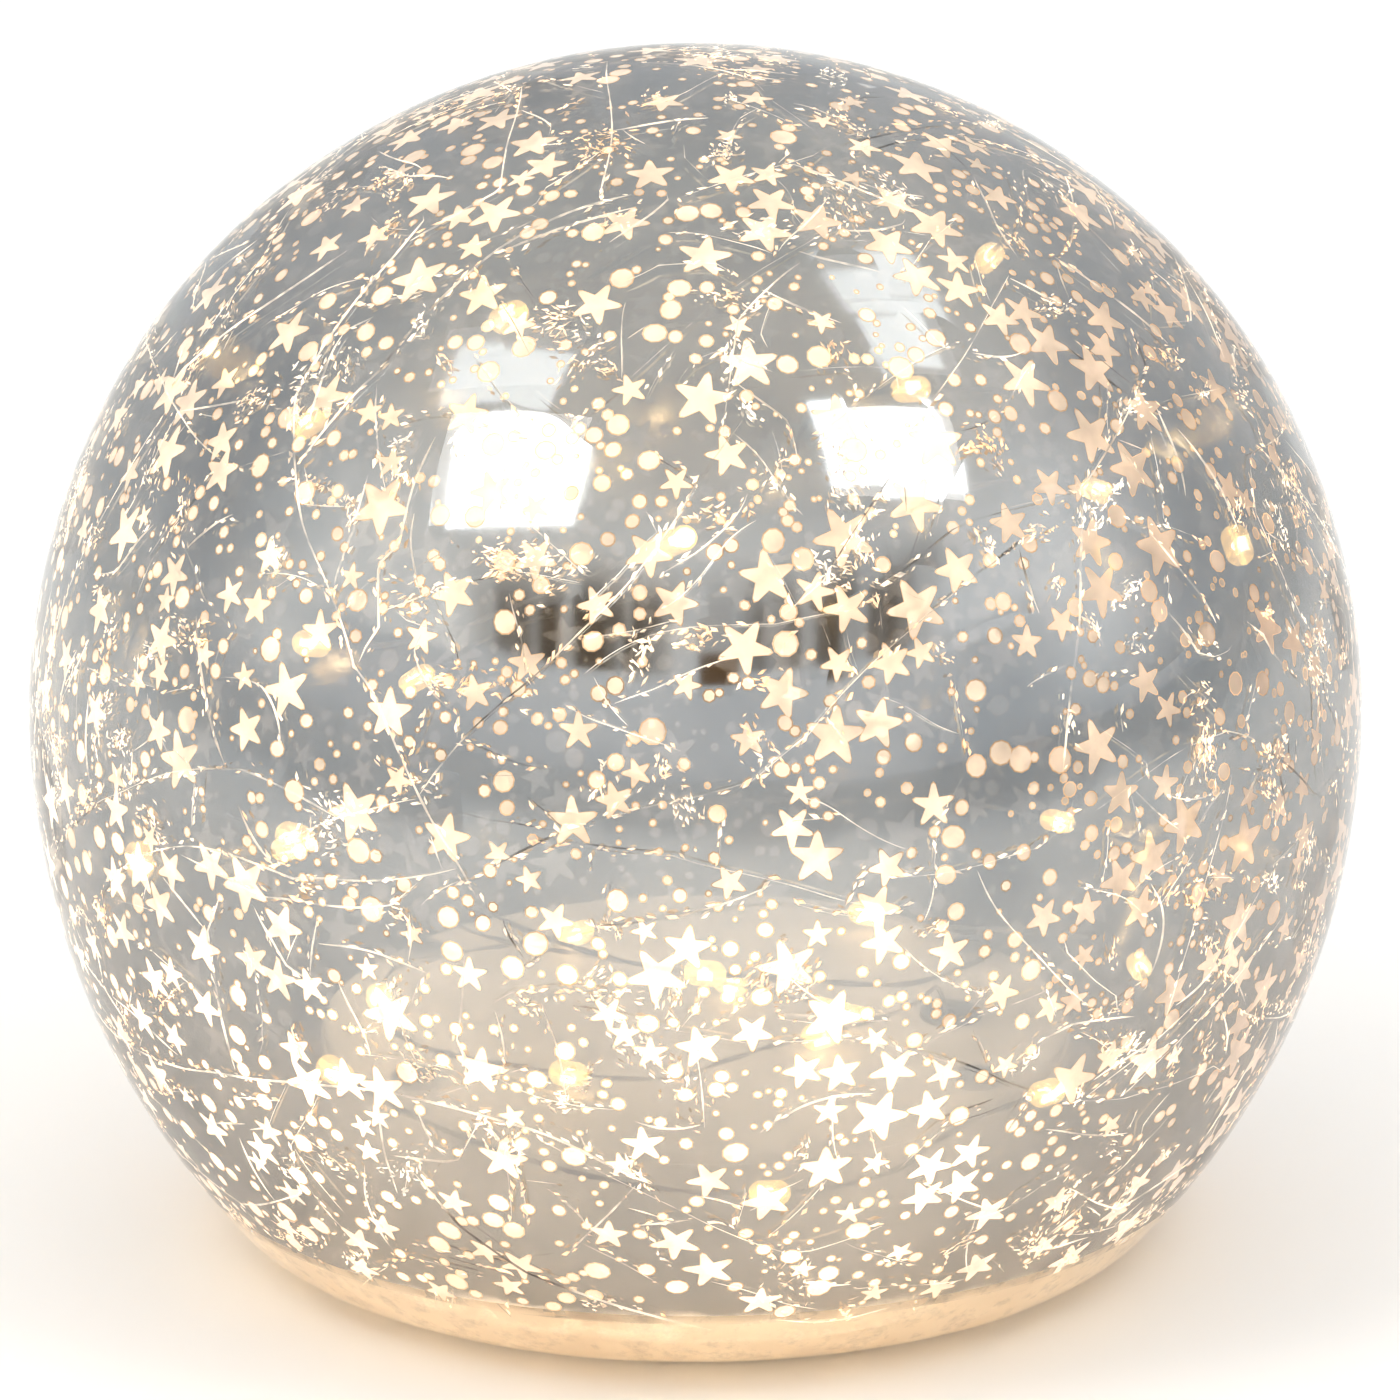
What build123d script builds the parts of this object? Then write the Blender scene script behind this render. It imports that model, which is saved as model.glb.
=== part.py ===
from build123d import *
import math
import os

# Star-pattern LED globe lamp: a silvered glass ball with a battery base in its bottom opening.
# Origin: on the table, under the middle of the ball. +Z is up and -Y is the front. Millimetres.

os.makedirs("parts", exist_ok=True)

# ---------------------------------------------------------------- driving dimensions
# Glass ball: a true sphere above its equator, a fuller arc below it, then a tight heel and a flat rim.
ball_radius = 75.0
ball_wall = 2.2
lower_radius = 86.1
lower_angle = 40.8
heel_radius = 11.6
rim_height = 1.2
rim_opening_radius = 43.1
coating_gap = 0.1
coating_thickness = 0.2
coating_edge_above_rim = 8.5

# Base: a round plastic tub that closes the opening, with a cover on top and a battery bay inside.
base_radius = 42.8
base_wall = 1.6
plate_bottom = 2.0
plate_top = 4.2
skirt_top = 23.0
cover_radius = 42.4
cover_top = 24.6
cover_lip_depth = 1.2
cover_lip_width = 1.2
cover_lip_clearance = 0.2
cover_hole_radius = 1.3
cover_edge_radius = 0.6
boss_x = 31.5
boss_y = 21.5
boss_radius = 3.0
cover_pilot_radius = 1.0
cover_pilot_depth = 9.0
foot_x = 32.5
foot_y = 19.5
foot_radius = 3.5
foot_recess = 0.5

# Battery bay: three AA cells side by side, along Y.
cell_radius = 7.1
cell_body_length = 49.5
cell_cap_height = 1.0
cell_cap_radius = 2.7
cell_end_radius = 5.4
cell_end_thickness = 0.3
cell_pitch = 14.9
cell_height = 11.9
bay_half_x = 22.6
bay_half_y = 29.0
bay_wall = 1.4
bay_roof_bottom = 19.6
bay_roof_top = 21.0
contact_thickness = 0.5
contact_face = 28.4
contact_bottom = 6.0
contact_top = 18.5
contact_half_width = 4.6
tab_half_width = 1.5
tab_top = 22.2
spring_radius = 3.4
spring_wire = 0.7
spring_pitch = 1.6

# Battery door: turns down about two pins at its -Y edge, and snaps shut at its +Y edge.
door_half_x = 23.3
door_front = -30.6
door_back = 29.9
door_top = 3.8
door_clearance = 0.3
hinge_y = -31.5
hinge_z = 2.5
barrel_radius = 1.2
barrel_inner_x = 6.0
barrel_outer_x = 14.0
pin_radius = 0.7
pin_end_x = 16.4
pin_bore_radius = 0.75
cheek_inner_x = 14.4
cheek_outer_x = 17.4
cheek_bottom = 1.3
cheek_top = 5.0
door_cheek_y = -29.4
hinge_notch_y = -33.2
tab_end_y = 33.0
finger_recess_half_x = 7.0
finger_recess_end = 36.5
finger_recess_top = 3.2
hook_slot_half_x = 4.0
hook_slot_start = 30.9
hook_slot_end = 34.4
hook_half_x = 3.0
hook_start = 31.4
hook_end = 32.3
hook_tip = 32.8
hook_top = 5.6
hook_depth = 0.7
tab_half_x = 5.0
tab_thickness = 0.9
grip_ribs = 5
grip_start = 16.0
grip_pitch = 2.4
grip_half_x = 8.0
grip_depth = 0.5
door_chamfer = 0.35
pad_half_x = 19.0
pad_half_y = 12.0
pad_thickness = 0.8

# Switch and circuit board, beside the battery bay on the +X side.
board_x = 32.0
board_half_x = 6.0
board_half_y = 13.0
board_bottom = 9.2
board_top = 10.4
post_y = 10.5
post_radius = 2.5
post_pilot_radius = 0.8
switch_half_x = 3.5
switch_half_y = 6.5
knob_half_x = 1.5
knob_half_y = 2.0
knob_rest_y = 2.0
knob_bottom = 2.4
slider_half_x = 2.4
slider_half_y = 2.5
slider_bottom = 4.5
slider_top = 5.7
switch_recess_top = 3.2
switch_recess_half_x = 4.0
switch_recess_half_y = 8.0
knob_slot_half_y = 4.5
slider_slot_half_y = 5.0

# LED string: two stranded wires side by side, with a lit bead at each lit place.
string_radius = 0.35
string_exit_x = 29.0
string_exit_y = 0.0
string_exit_rise = 6.5
string_flat_zone = 9.0
bead_run = 12.0
bead_radius = 1.4
bead_straight = 1.8
led_chip_width = 0.8
led_chip_height = 0.6
led_chip_length = 1.6
end_cap_radius = 0.9
end_cap_length = 6.0
lead_radius = 0.6
grommet_radius = 2.35
grommet_flange_radius = 3.6
grommet_flange_height = 0.8

chip_offset = string_radius + led_chip_height / 2 + 0.01
centre_height = rim_height + (lower_radius - heel_radius) * math.sin(math.radians(lower_angle)) + heel_radius
lower_centre_r = ball_radius - lower_radius
heel_centre_r = lower_centre_r + (lower_radius - heel_radius) * math.cos(math.radians(lower_angle))
heel_centre_z = rim_height + heel_radius

# Places that the string passes, from the middle of the ball: x, y, z, and whether it has an LED there.
string_places = [
    (14, -12, -34.8, True),
    (-14, -25, -34.4, True),
    (-36, -2, -33.6, True),
    (-14, 22, -34.6, True),
    (20, 27, -34.2, True),
    (51, 6, -33, True),
    (38, -48, -28, True),
    (8, -55, -37, True),
    (-39, -47, -26, True),
    (-61, -26, -9, True),
    (-43, -50, 2, True),
    (1, -66, -8, True),
    (36, -57, -6, False),
    (59, -22, 26, True),
    (23, -40, 49, True),
    (-2, -56, 37, True),
    (-41, -48, 23, True),
    (-60, -10, 30, False),
    (-20, -33, 55, True),
    (20, 2, 64, False),
    (34, 40, 42, True),
    (0, 62, 28, False),
    (-45, 46, 20, True),
    (-66, 10, -8, False),
    (-48, 40, -30, True),
    (-4, 60, -31, False),
    (43, 44, -28, True),
    (66, 6, -12, False),
    (47, 46, 12, True),
    (6, 66, -4, False),
    (-33, 54, -14, True),
    (-34, 28, -24, False),
    (4, 4, -34.4, True),
]


# ---------------------------------------------------------------- helpers
def save(part, node):
    export_step(part, f"parts/{node}.step")


def block(x0, x1, y0, y1, z0, z1):
    """Box from its lowest to its highest corner."""
    middle = ((x0 + x1) / 2, (y0 + y1) / 2, (z0 + z1) / 2)
    return Pos(*middle) * Box(x1 - x0, y1 - y0, z1 - z0)


def post(x, y, radius, z0, z1):
    """Upright cylinder."""
    return Pos(x, y, (z0 + z1) / 2) * Cylinder(radius, z1 - z0)


def rod_y(x, z, radius, y0, y1):
    """Cylinder along Y."""
    return Pos(x, (y0 + y1) / 2, z) * Rot(90, 0, 0) * Cylinder(radius, abs(y1 - y0))


def rod_x(y, z, radius, x0, x1):
    """Cylinder along X."""
    return Pos((x0 + x1) / 2, y, z) * Rot(0, 90, 0) * Cylinder(radius, x1 - x0)


def at_corners(x, y, make):
    """The same piece at the four places (+-x, +-y), as separate solids."""
    return [make(sx * x, sy * y) for sx in (-1, 1) for sy in (-1, 1)]


def posts(x, y, radius, z0, z1):
    """Upright cylinders at the four places (+-x, +-y)."""
    return at_corners(x, y, lambda px, py: post(px, py, radius, z0, z1))


def section_arc(centre_r, centre_z, radius, start, end):
    """Arc in the X-Z half plane, between two angles in degrees from +X."""
    points = []
    for angle in (start, (start + end) / 2, end):
        turn = math.radians(angle)
        points.append((centre_r + radius * math.cos(turn), 0, centre_z + radius * math.sin(turn)))
    return ThreePointArc(*points)


def tube(route, radii, radius):
    """Round tube along straight runs joined by tangent arcs."""
    path = FilletPolyline(*route, radius=radii)
    profile = Plane(origin=path @ 0, z_dir=path % 0) * Circle(radius)
    solid = sweep(profile, path=path)
    drawn = math.pi * radius**2 * path.length
    print(f"tube {path.length:.0f} mm, volume {solid.volume / drawn:.4f} of section x length")
    return solid


def corner_radii(route):
    """As large a radius at each corner as its two runs allow."""
    radii = []
    for before, corner, after in zip(route, route[1:], route[2:]):
        run_in = Vector(*corner) - Vector(*before)
        run_out = Vector(*after) - Vector(*corner)
        half_turn = math.radians(run_in.get_angle(run_out)) / 2
        radii.append(0.45 * min(run_in.length, run_out.length) / math.tan(half_turn))
    print("radii", [round(radius, 1) for radius in radii])
    return radii


# ---------------------------------------------------------------- glass ball and its silvering
def glass_globe():
    inner_sphere = ball_radius - ball_wall
    inner_lower = lower_radius - ball_wall
    inner_heel = heel_radius - ball_wall
    rim_top = rim_height + ball_wall
    outline = [
        section_arc(0, centre_height, ball_radius, 90, 0),
        section_arc(lower_centre_r, centre_height, lower_radius, 0, -lower_angle),
        section_arc(heel_centre_r, heel_centre_z, heel_radius, -lower_angle, -90),
        Line((heel_centre_r, 0, rim_height), (rim_opening_radius, 0, rim_height)),
        Line((rim_opening_radius, 0, rim_height), (rim_opening_radius, 0, rim_top)),
        Line((rim_opening_radius, 0, rim_top), (heel_centre_r, 0, rim_top)),
        section_arc(heel_centre_r, heel_centre_z, inner_heel, -90, -lower_angle),
        section_arc(lower_centre_r, centre_height, inner_lower, -lower_angle, 0),
        section_arc(0, centre_height, inner_sphere, 0, 90),
        Line((0, 0, centre_height + inner_sphere), (0, 0, centre_height + ball_radius)),
    ]
    return revolve(make_face(outline), Axis.Z)


def mirror_coating():
    depth_out = ball_wall + coating_gap
    depth_in = depth_out + coating_thickness
    drop = centre_height - rim_height - coating_edge_above_rim
    low_out = -math.degrees(math.asin(drop / (lower_radius - depth_out)))
    low_in = -math.degrees(math.asin(drop / (lower_radius - depth_in)))
    outer_sphere = section_arc(0, centre_height, ball_radius - depth_out, 90, 0)
    outer_lower = section_arc(lower_centre_r, centre_height, lower_radius - depth_out, 0, low_out)
    inner_lower = section_arc(lower_centre_r, centre_height, lower_radius - depth_in, low_in, 0)
    inner_sphere = section_arc(0, centre_height, ball_radius - depth_in, 0, 90)
    edge = Line(outer_lower @ 1, inner_lower @ 0)
    top = Line(inner_sphere @ 1, outer_sphere @ 0)
    return revolve(make_face([outer_sphere, outer_lower, edge, inner_lower, inner_sphere, top]), Axis.Z)


def sealant_bead():
    """Silicone in the gap between rim and base, with a fillet on top of the rim."""
    rim_top = rim_height + ball_wall
    outline = Polyline(
        (base_radius, 0, plate_bottom),
        (rim_opening_radius, 0, plate_bottom - 0.3),
        (rim_opening_radius, 0, rim_top),
        (rim_opening_radius + 2.0, 0, rim_top),
        (base_radius, 0, rim_top + 2.4),
        close=True,
    )
    return revolve(make_face(outline), Axis.Z)


# ---------------------------------------------------------------- base
def base_housing():
    tub = post(0, 0, base_radius, plate_bottom, skirt_top)
    tub -= post(0, 0, base_radius - base_wall, plate_top, skirt_top)
    half_x = bay_half_x + bay_wall
    half_y = bay_half_y + bay_wall
    tub += block(-half_x, half_x, -half_y, half_y, plate_top - 0.5, bay_roof_top)
    for boss in posts(boss_x, boss_y, boss_radius, plate_top, skirt_top):
        tub += boss
    for side in (-1, 1):
        tub += post(board_x, side * post_y, post_radius, plate_top, board_bottom)
        tub += block(
            min(side * cheek_inner_x, side * cheek_outer_x),
            max(side * cheek_inner_x, side * cheek_outer_x),
            hinge_notch_y,
            door_front - door_clearance,
            cheek_bottom,
            cheek_top,
        )
    tub -= block(-bay_half_x, bay_half_x, -bay_half_y, bay_half_y, plate_top, bay_roof_bottom)
    opening_x = door_half_x + door_clearance
    opening_front = door_front - door_clearance
    opening_back = door_back + door_clearance
    tub -= block(-opening_x, opening_x, opening_front, opening_back, plate_bottom, plate_top)
    for side in (-1, 1):
        notch_start = side * (barrel_inner_x - 0.4)
        notch_end = side * (barrel_outer_x + 0.4)
        tub -= block(
            min(notch_start, notch_end),
            max(notch_start, notch_end),
            hinge_notch_y,
            door_front,
            plate_bottom,
            plate_top,
        )
        bore_start = side * (cheek_inner_x - 0.2)
        bore_end = side * (pin_end_x + 0.2)
        tub -= rod_x(hinge_y, hinge_z, pin_bore_radius, min(bore_start, bore_end), max(bore_start, bore_end))
        tub -= post(board_x, side * post_y, post_pilot_radius, board_bottom - 4.0, board_bottom)
    # Finger recess and the slot that the door's hook goes through.
    recess_x = finger_recess_half_x
    tub -= block(-recess_x, recess_x, door_back, finger_recess_end, plate_bottom, finger_recess_top)
    tub -= block(-hook_slot_half_x, hook_slot_half_x, hook_slot_start, hook_slot_end, plate_bottom, plate_top)
    # Switch recess and slot.
    recess_x = switch_recess_half_x
    recess_y = switch_recess_half_y
    tub -= block(board_x - recess_x, board_x + recess_x, -recess_y, recess_y, plate_bottom, switch_recess_top)
    slot_x = knob_half_x + 0.3
    slot_y = knob_slot_half_y
    tub -= block(board_x - slot_x, board_x + slot_x, -slot_y, slot_y, plate_bottom, plate_top)
    # Slots in the bay roof for the two contact tabs, screw pilots and recesses for the feet.
    for side in (-1, 1):
        tab_x = -side * cell_pitch
        tab_y = side * (contact_face + contact_thickness / 2)
        tub -= block(
            tab_x - tab_half_width - 0.3, tab_x + tab_half_width + 0.3,
            tab_y - 0.35, tab_y + 0.35, bay_roof_bottom, bay_roof_top,
        )
    pilot_bottom = skirt_top - cover_pilot_depth
    for pilot in posts(boss_x, boss_y, cover_pilot_radius, pilot_bottom, skirt_top):
        tub -= pilot
    for recess in posts(foot_x, foot_y, foot_radius, plate_bottom, plate_bottom + foot_recess):
        tub -= recess
    return tub


def top_cover():
    disc = post(0, 0, cover_radius, skirt_top, cover_top)
    disc = fillet(disc.edges().filter_by(GeomType.CIRCLE).sort_by(Axis.Z)[-1], cover_edge_radius)
    lip_outer = base_radius - base_wall - cover_lip_clearance
    lip = post(0, 0, lip_outer, skirt_top - cover_lip_depth, skirt_top)
    lip -= post(0, 0, lip_outer - cover_lip_width, skirt_top - cover_lip_depth, skirt_top)
    for boss in posts(boss_x, boss_y, boss_radius + 0.3, plate_top, skirt_top):
        lip -= boss
    cover = disc + lip
    for hole in posts(boss_x, boss_y, cover_hole_radius, skirt_top - 0.1, cover_top):
        cover -= hole
    cover -= post(string_exit_x, string_exit_y, grommet_radius + 0.05, skirt_top, cover_top)
    return cover


def pan_head_screw(x, y, head_bottom, head_radius, head_height, shank_radius, shank_bottom):
    """Self-tapping screw pointing down, with a cross recess in its domed head."""
    head = post(x, y, head_radius, head_bottom, head_bottom + head_height)
    head = fillet(head.edges().filter_by(GeomType.CIRCLE).sort_by(Axis.Z)[-1], head_height * 0.45)
    slot = head_radius * 0.6
    depth = head_height * 0.5
    top = head_bottom + head_height
    for half_x, half_y in ((slot, 0.25), (0.25, slot)):
        head -= block(x - half_x, x + half_x, y - half_y, y + half_y, top - depth, top)
    return head + post(x, y, shank_radius, shank_bottom, head_bottom)


def wire_grommet():
    flange_top = cover_top + grommet_flange_height
    ring = post(string_exit_x, string_exit_y, grommet_radius, skirt_top, cover_top)
    ring += post(string_exit_x, string_exit_y, grommet_flange_radius, cover_top, flange_top)
    return ring - post(string_exit_x, string_exit_y, string_radius + 0.1, skirt_top, flange_top)


def rubber_foot(x, y):
    foot = post(x, y, foot_radius, 0, plate_bottom + foot_recess)
    return fillet(foot.edges().filter_by(GeomType.CIRCLE).sort_by(Axis.Z)[0], 0.5)


# ---------------------------------------------------------------- battery door
def battery_door():
    door = block(-door_half_x, door_half_x, door_front, door_back, plate_bottom, door_top)
    outer_edges = door.edges().group_by(Axis.Z)[0].sort_by(Axis.Y)[1:]
    door = chamfer(outer_edges, door_chamfer)
    for side in (-1, 1):
        inner = side * barrel_inner_x
        outer = side * barrel_outer_x
        low_x = min(inner, outer)
        high_x = max(inner, outer)
        door += rod_x(hinge_y, hinge_z, barrel_radius, low_x, high_x)
        door += block(low_x, high_x, hinge_y, door_front, hinge_z - 0.5, hinge_z + 0.7)
        pin = side * pin_end_x
        door += rod_x(hinge_y, hinge_z, pin_radius, min(outer, pin), max(outer, pin))
        # Clear of the housing's cheek when the door hangs open.
        near = side * (cheek_inner_x - door_clearance)
        far = side * (cheek_outer_x + door_clearance)
        door -= block(min(near, far), max(near, far), door_front, door_cheek_y, plate_bottom, door_top)
    # Finger tab with its hook, and grip ribs across the outside.
    tab_top_z = plate_bottom + tab_thickness
    door += block(-tab_half_x, tab_half_x, door_back - door_chamfer, tab_end_y, plate_bottom, tab_top_z)
    door += block(-hook_half_x, hook_half_x, hook_start, hook_end, tab_top_z, hook_top)
    door += block(-hook_half_x, hook_half_x, hook_end, hook_tip, hook_top - hook_depth, hook_top)
    for rib in range(grip_ribs):
        rib_start = grip_start + rib * grip_pitch
        rib_end = rib_start + grip_pitch / 2
        door -= block(-grip_half_x, grip_half_x, rib_start, rib_end, plate_bottom, plate_bottom + grip_depth)
    return door


# ---------------------------------------------------------------- cells and contacts
# One entry per cell: its place along X, and the side that its positive end faces.
cells = [(cell_pitch, -1), (0.0, 1), (-cell_pitch, -1)]


def cell_ends(facing):
    """Y of the cap's tip, of the shoulder behind it and of the flat end."""
    tip = facing * contact_face
    shoulder = tip - facing * cell_cap_height
    return tip, shoulder, shoulder - facing * cell_body_length


def battery(x, facing):
    tip, shoulder, end = cell_ends(facing)
    body_end = end + facing * cell_end_thickness
    body = rod_y(x, cell_height, cell_radius, shoulder, body_end)
    return fillet(body.edges().filter_by(GeomType.CIRCLE), 0.5)


def positive_cap(x, facing):
    tip, shoulder, end = cell_ends(facing)
    return rod_y(x, cell_height, cell_cap_radius, tip, shoulder)


def negative_end(x, facing):
    tip, shoulder, end = cell_ends(facing)
    return rod_y(x, cell_height, cell_end_radius, end, end + facing * cell_end_thickness)


def contact_spring(x, facing):
    """Coil between a cell's flat end and the contact behind it."""
    tip, shoulder, end = cell_ends(facing)
    gap = contact_face - abs(end) - spring_wire - 0.1
    start = min(end, -facing * contact_face) + spring_wire / 2 + 0.05
    coil = Helix(spring_pitch, gap, spring_radius, center=(x, start, cell_height), direction=(0, 1, 0))
    profile = Plane(origin=coil @ 0, z_dir=coil % 0) * Circle(spring_wire / 2)
    return sweep(profile, path=coil, is_frenet=True)


def contact_plate(x0, x1, side):
    y0 = side * contact_face
    y1 = side * (contact_face + contact_thickness)
    return block(x0, x1, min(y0, y1), max(y0, y1), contact_bottom, contact_top)


def tabbed_plate(x, side):
    """Contact with a solder tab that goes up through the bay roof."""
    y0 = side * contact_face
    y1 = side * (contact_face + contact_thickness)
    plate = contact_plate(x - contact_half_width, x + contact_half_width, side)
    tab_x0 = x - tab_half_width
    tab_x1 = x + tab_half_width
    return plate + block(tab_x0, tab_x1, min(y0, y1), max(y0, y1), contact_top, tab_top)


# ---------------------------------------------------------------- board, switch and leads
lead_hole_x = 27.4
lead_hole_y = 11.2
pin_y = (-2.5, 0.0, 2.5)
pin_hole_radius = 0.45
screw_hole_radius = 1.1
chip_x = (26.9, 30.3)
chip_y = (3.2, 8.0)
chip_stand_off = 0.2
chip_height = 1.4
leg_pitch = 1.27
leg_reach = 0.5
resistor_x = (34.4, 37.4)
resistor_y = (-4.4, -7.6)
resistor_height = 0.9
crystal_x = 36.2
crystal_y = (1.0, 7.0)
crystal_radius = 1.0
capacitor_place = (28.6, -5.6)
capacitor_radius = 2.0
capacitor_height = 5.2


def circuit_board():
    board_x0 = board_x - board_half_x
    board_x1 = board_x + board_half_x
    board = block(board_x0, board_x1, -board_half_y, board_half_y, board_bottom, board_top)
    board = fillet(board.edges().filter_by(Axis.Z), 1.0)
    holes = [(board_x, y, pin_hole_radius) for y in pin_y]
    holes += [(board_x, side * post_y, screw_hole_radius) for side in (-1, 1)]
    holes += [(lead_hole_x, side * lead_hole_y, lead_radius + 0.05) for side in (-1, 1)]
    holes += [(string_exit_x, string_exit_y, string_radius + 0.05)]
    for x, y, radius in holes:
        board -= post(x, y, radius, board_bottom, board_top)
    return board


def timer_chip():
    chip = block(*chip_x, *chip_y, board_top + chip_stand_off, board_top + chip_stand_off + chip_height)
    chip = chamfer(chip.edges().group_by(Axis.Z)[-1], 0.25)
    for leg in range(4):
        leg_y = chip_y[0] + 0.5 + leg * leg_pitch
        legs_x = (chip_x[0] - leg_reach, chip_x[1] + leg_reach)
        chip += block(*legs_x, leg_y - 0.2, leg_y + 0.2, board_top, board_top + 0.5)
    return chip


def resistor(y):
    start, end = resistor_x
    body = rod_x(y, board_top + resistor_height, 0.8, start, end)
    return body + rod_x(y, board_top + resistor_height, 0.25, start - 0.6, end + 0.6)


def crystal_can():
    start, end = crystal_y
    axis_z = board_top + crystal_radius + 0.1
    can = rod_y(crystal_x, axis_z, crystal_radius, start, end)
    return can + rod_y(crystal_x, axis_z, 0.3, start - 1.0, start)


def capacitor():
    bung_top = board_top + 0.2
    can = post(*capacitor_place, capacitor_radius, bung_top, board_top + capacitor_height)
    return can + post(*capacitor_place, capacitor_radius - 0.3, board_top, bung_top)


def switch_body():
    body_x0 = board_x - switch_half_x
    body_x1 = board_x + switch_half_x
    body = block(body_x0, body_x1, -switch_half_y, switch_half_y, plate_top, board_bottom)
    body = fillet(body.edges().filter_by(Axis.Z), 0.5)
    slot_x = slider_half_x + 0.3
    slot_y = slider_slot_half_y
    return body - block(board_x - slot_x, board_x + slot_x, -slot_y, slot_y, plate_top, slider_top + 0.3)


def switch_knob():
    low_y = knob_rest_y - knob_half_y
    high_y = knob_rest_y + knob_half_y
    knob_x0 = board_x - knob_half_x
    knob_x1 = board_x + knob_half_x
    knob = block(knob_x0, knob_x1, low_y, high_y, knob_bottom, slider_bottom)
    knob = fillet(knob.edges().filter_by(Axis.Z), 0.4)
    for groove in (1, 2, 3):
        y = low_y + groove
        knob -= block(knob_x0, knob_x1, y - 0.2, y + 0.2, knob_bottom, knob_bottom + 0.4)
    return knob + block(
        board_x - slider_half_x,
        board_x + slider_half_x,
        knob_rest_y - slider_half_y,
        knob_rest_y + slider_half_y,
        slider_bottom,
        slider_top,
    )


def battery_lead(route):
    return tube(route, corner_radii(route), lead_radius)


# Leads: over the bay roof and down to the board, from the tab of each outer contact.
lead_over = bay_roof_top + lead_radius + 0.2
red_route = [
    (cell_pitch + 2.2, -contact_face - 0.2, lead_over),
    (19.5, -24.0, lead_over + 0.1),
    (24.5, -19.0, lead_over),
    (27.0, -14.0, lead_over - 2.5),
    (lead_hole_x, -lead_hole_y, 17.0),
    (lead_hole_x, -lead_hole_y, board_bottom),
]
black_route = [
    (-cell_pitch + 2.2, contact_face + 0.2, lead_over),
    (-6.0, 27.0, lead_over + 0.1),
    (4.0, 25.5, lead_over),
    (14.0, 22.0, lead_over + 0.1),
    (21.0, 18.6, lead_over),
    (26.8, 14.8, lead_over - 0.4),
    (lead_hole_x, lead_hole_y, 17.0),
    (lead_hole_x, lead_hole_y, board_bottom),
]


# ---------------------------------------------------------------- LED string
def string_route():
    """Up from the board through the cover, then a straight run through each place in turn."""
    middle = Vector(0, 0, centre_height)
    exit_top = Vector(string_exit_x, string_exit_y, cover_top + string_exit_rise)
    places = [middle + Vector(x, y, z) for x, y, z, lit in string_places]
    route = [Vector(string_exit_x, string_exit_y, board_bottom), exit_top]
    frames = []
    for index, place in enumerate(places):
        before = places[index - 1] if index else exit_top
        after = places[index + 1] if index + 1 < len(places) else place + (place - before)
        outward = (place - middle).normalized()
        along = after - before
        along = (along - outward * along.dot(outward)).normalized()
        if place.Z < cover_top + string_flat_zone:
            along = Vector(along.X, along.Y, 0).normalized()
        route += [place - along * bead_run, place + along * bead_run]
        if string_places[index][3]:
            frames.append(Plane(origin=place, x_dir=outward.cross(along), z_dir=along))
    return route, frames


def led_chip(frame):
    return frame * Pos(0, chip_offset, 0) * Box(led_chip_width, led_chip_height, led_chip_length)


def led_droplet(frame):
    drop = Cylinder(bead_radius, bead_straight)
    drop += Pos(0, 0, bead_straight / 2) * Sphere(bead_radius)
    drop += Pos(0, 0, -bead_straight / 2) * Sphere(bead_radius)
    drop -= Cylinder(string_radius + 0.02, bead_straight + 2 * bead_radius)
    around_chip = Box(led_chip_width + 0.04, led_chip_height + 0.04, led_chip_length + 0.04)
    drop -= Pos(0, chip_offset, 0) * around_chip
    return frame * drop


# ---------------------------------------------------------------- all nodes
save(glass_globe(), "glass_globe")
save(mirror_coating(), "mirror_coating")
save(sealant_bead(), "sealant_bead")
save(base_housing(), "base_housing")
save(top_cover(), "top_cover")
cover_screws = at_corners(
    boss_x,
    boss_y,
    lambda x, y: pan_head_screw(x, y, cover_top, 2.5, 1.6, cover_pilot_radius, skirt_top - 7.0),
)
save(Compound(cover_screws), "cover_screws")
save(wire_grommet(), "wire_grommet")
save(Compound(at_corners(foot_x, foot_y, rubber_foot)), "rubber_feet")
save(battery_door(), "battery_door")
pad = block(-pad_half_x, pad_half_x, -pad_half_y, pad_half_y, door_top, door_top + pad_thickness)
save(pad, "door_foam_pad")
for number, (x, facing) in enumerate(cells, start=1):
    save(battery(x, facing), f"battery_{number}")
save(Compound([positive_cap(x, facing) for x, facing in cells]), "battery_positive_caps")
save(Compound([negative_end(x, facing) for x, facing in cells]), "battery_negative_ends")
save(Compound([contact_spring(x, facing) for x, facing in cells]), "contact_springs")
save(tabbed_plate(cell_pitch, -1), "positive_plate")
save(tabbed_plate(-cell_pitch, 1), "negative_plate")
save(contact_plate(-cell_pitch - contact_half_width, contact_half_width, -1), "link_plate_front")
save(contact_plate(-contact_half_width, cell_pitch + contact_half_width, 1), "link_plate_rear")
save(circuit_board(), "circuit_board")
save(timer_chip(), "timer_chip")
save(Compound([resistor(y) for y in resistor_y]), "resistors")
save(crystal_can(), "crystal_can")
save(capacitor(), "capacitor")
save(switch_body(), "switch_body")
save(Compound([post(board_x, y, 0.4, board_bottom, board_top + 0.9) for y in pin_y]), "switch_pins")
save(switch_knob(), "switch_knob")
board_screws = [
    pan_head_screw(board_x, side * post_y, board_top, 1.8, 1.2, post_pilot_radius, board_bottom - 3.4)
    for side in (-1, 1)
]
save(Compound(board_screws), "board_screws")
save(battery_lead(red_route), "battery_lead_red")
save(battery_lead(black_route), "battery_lead_black")

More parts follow.
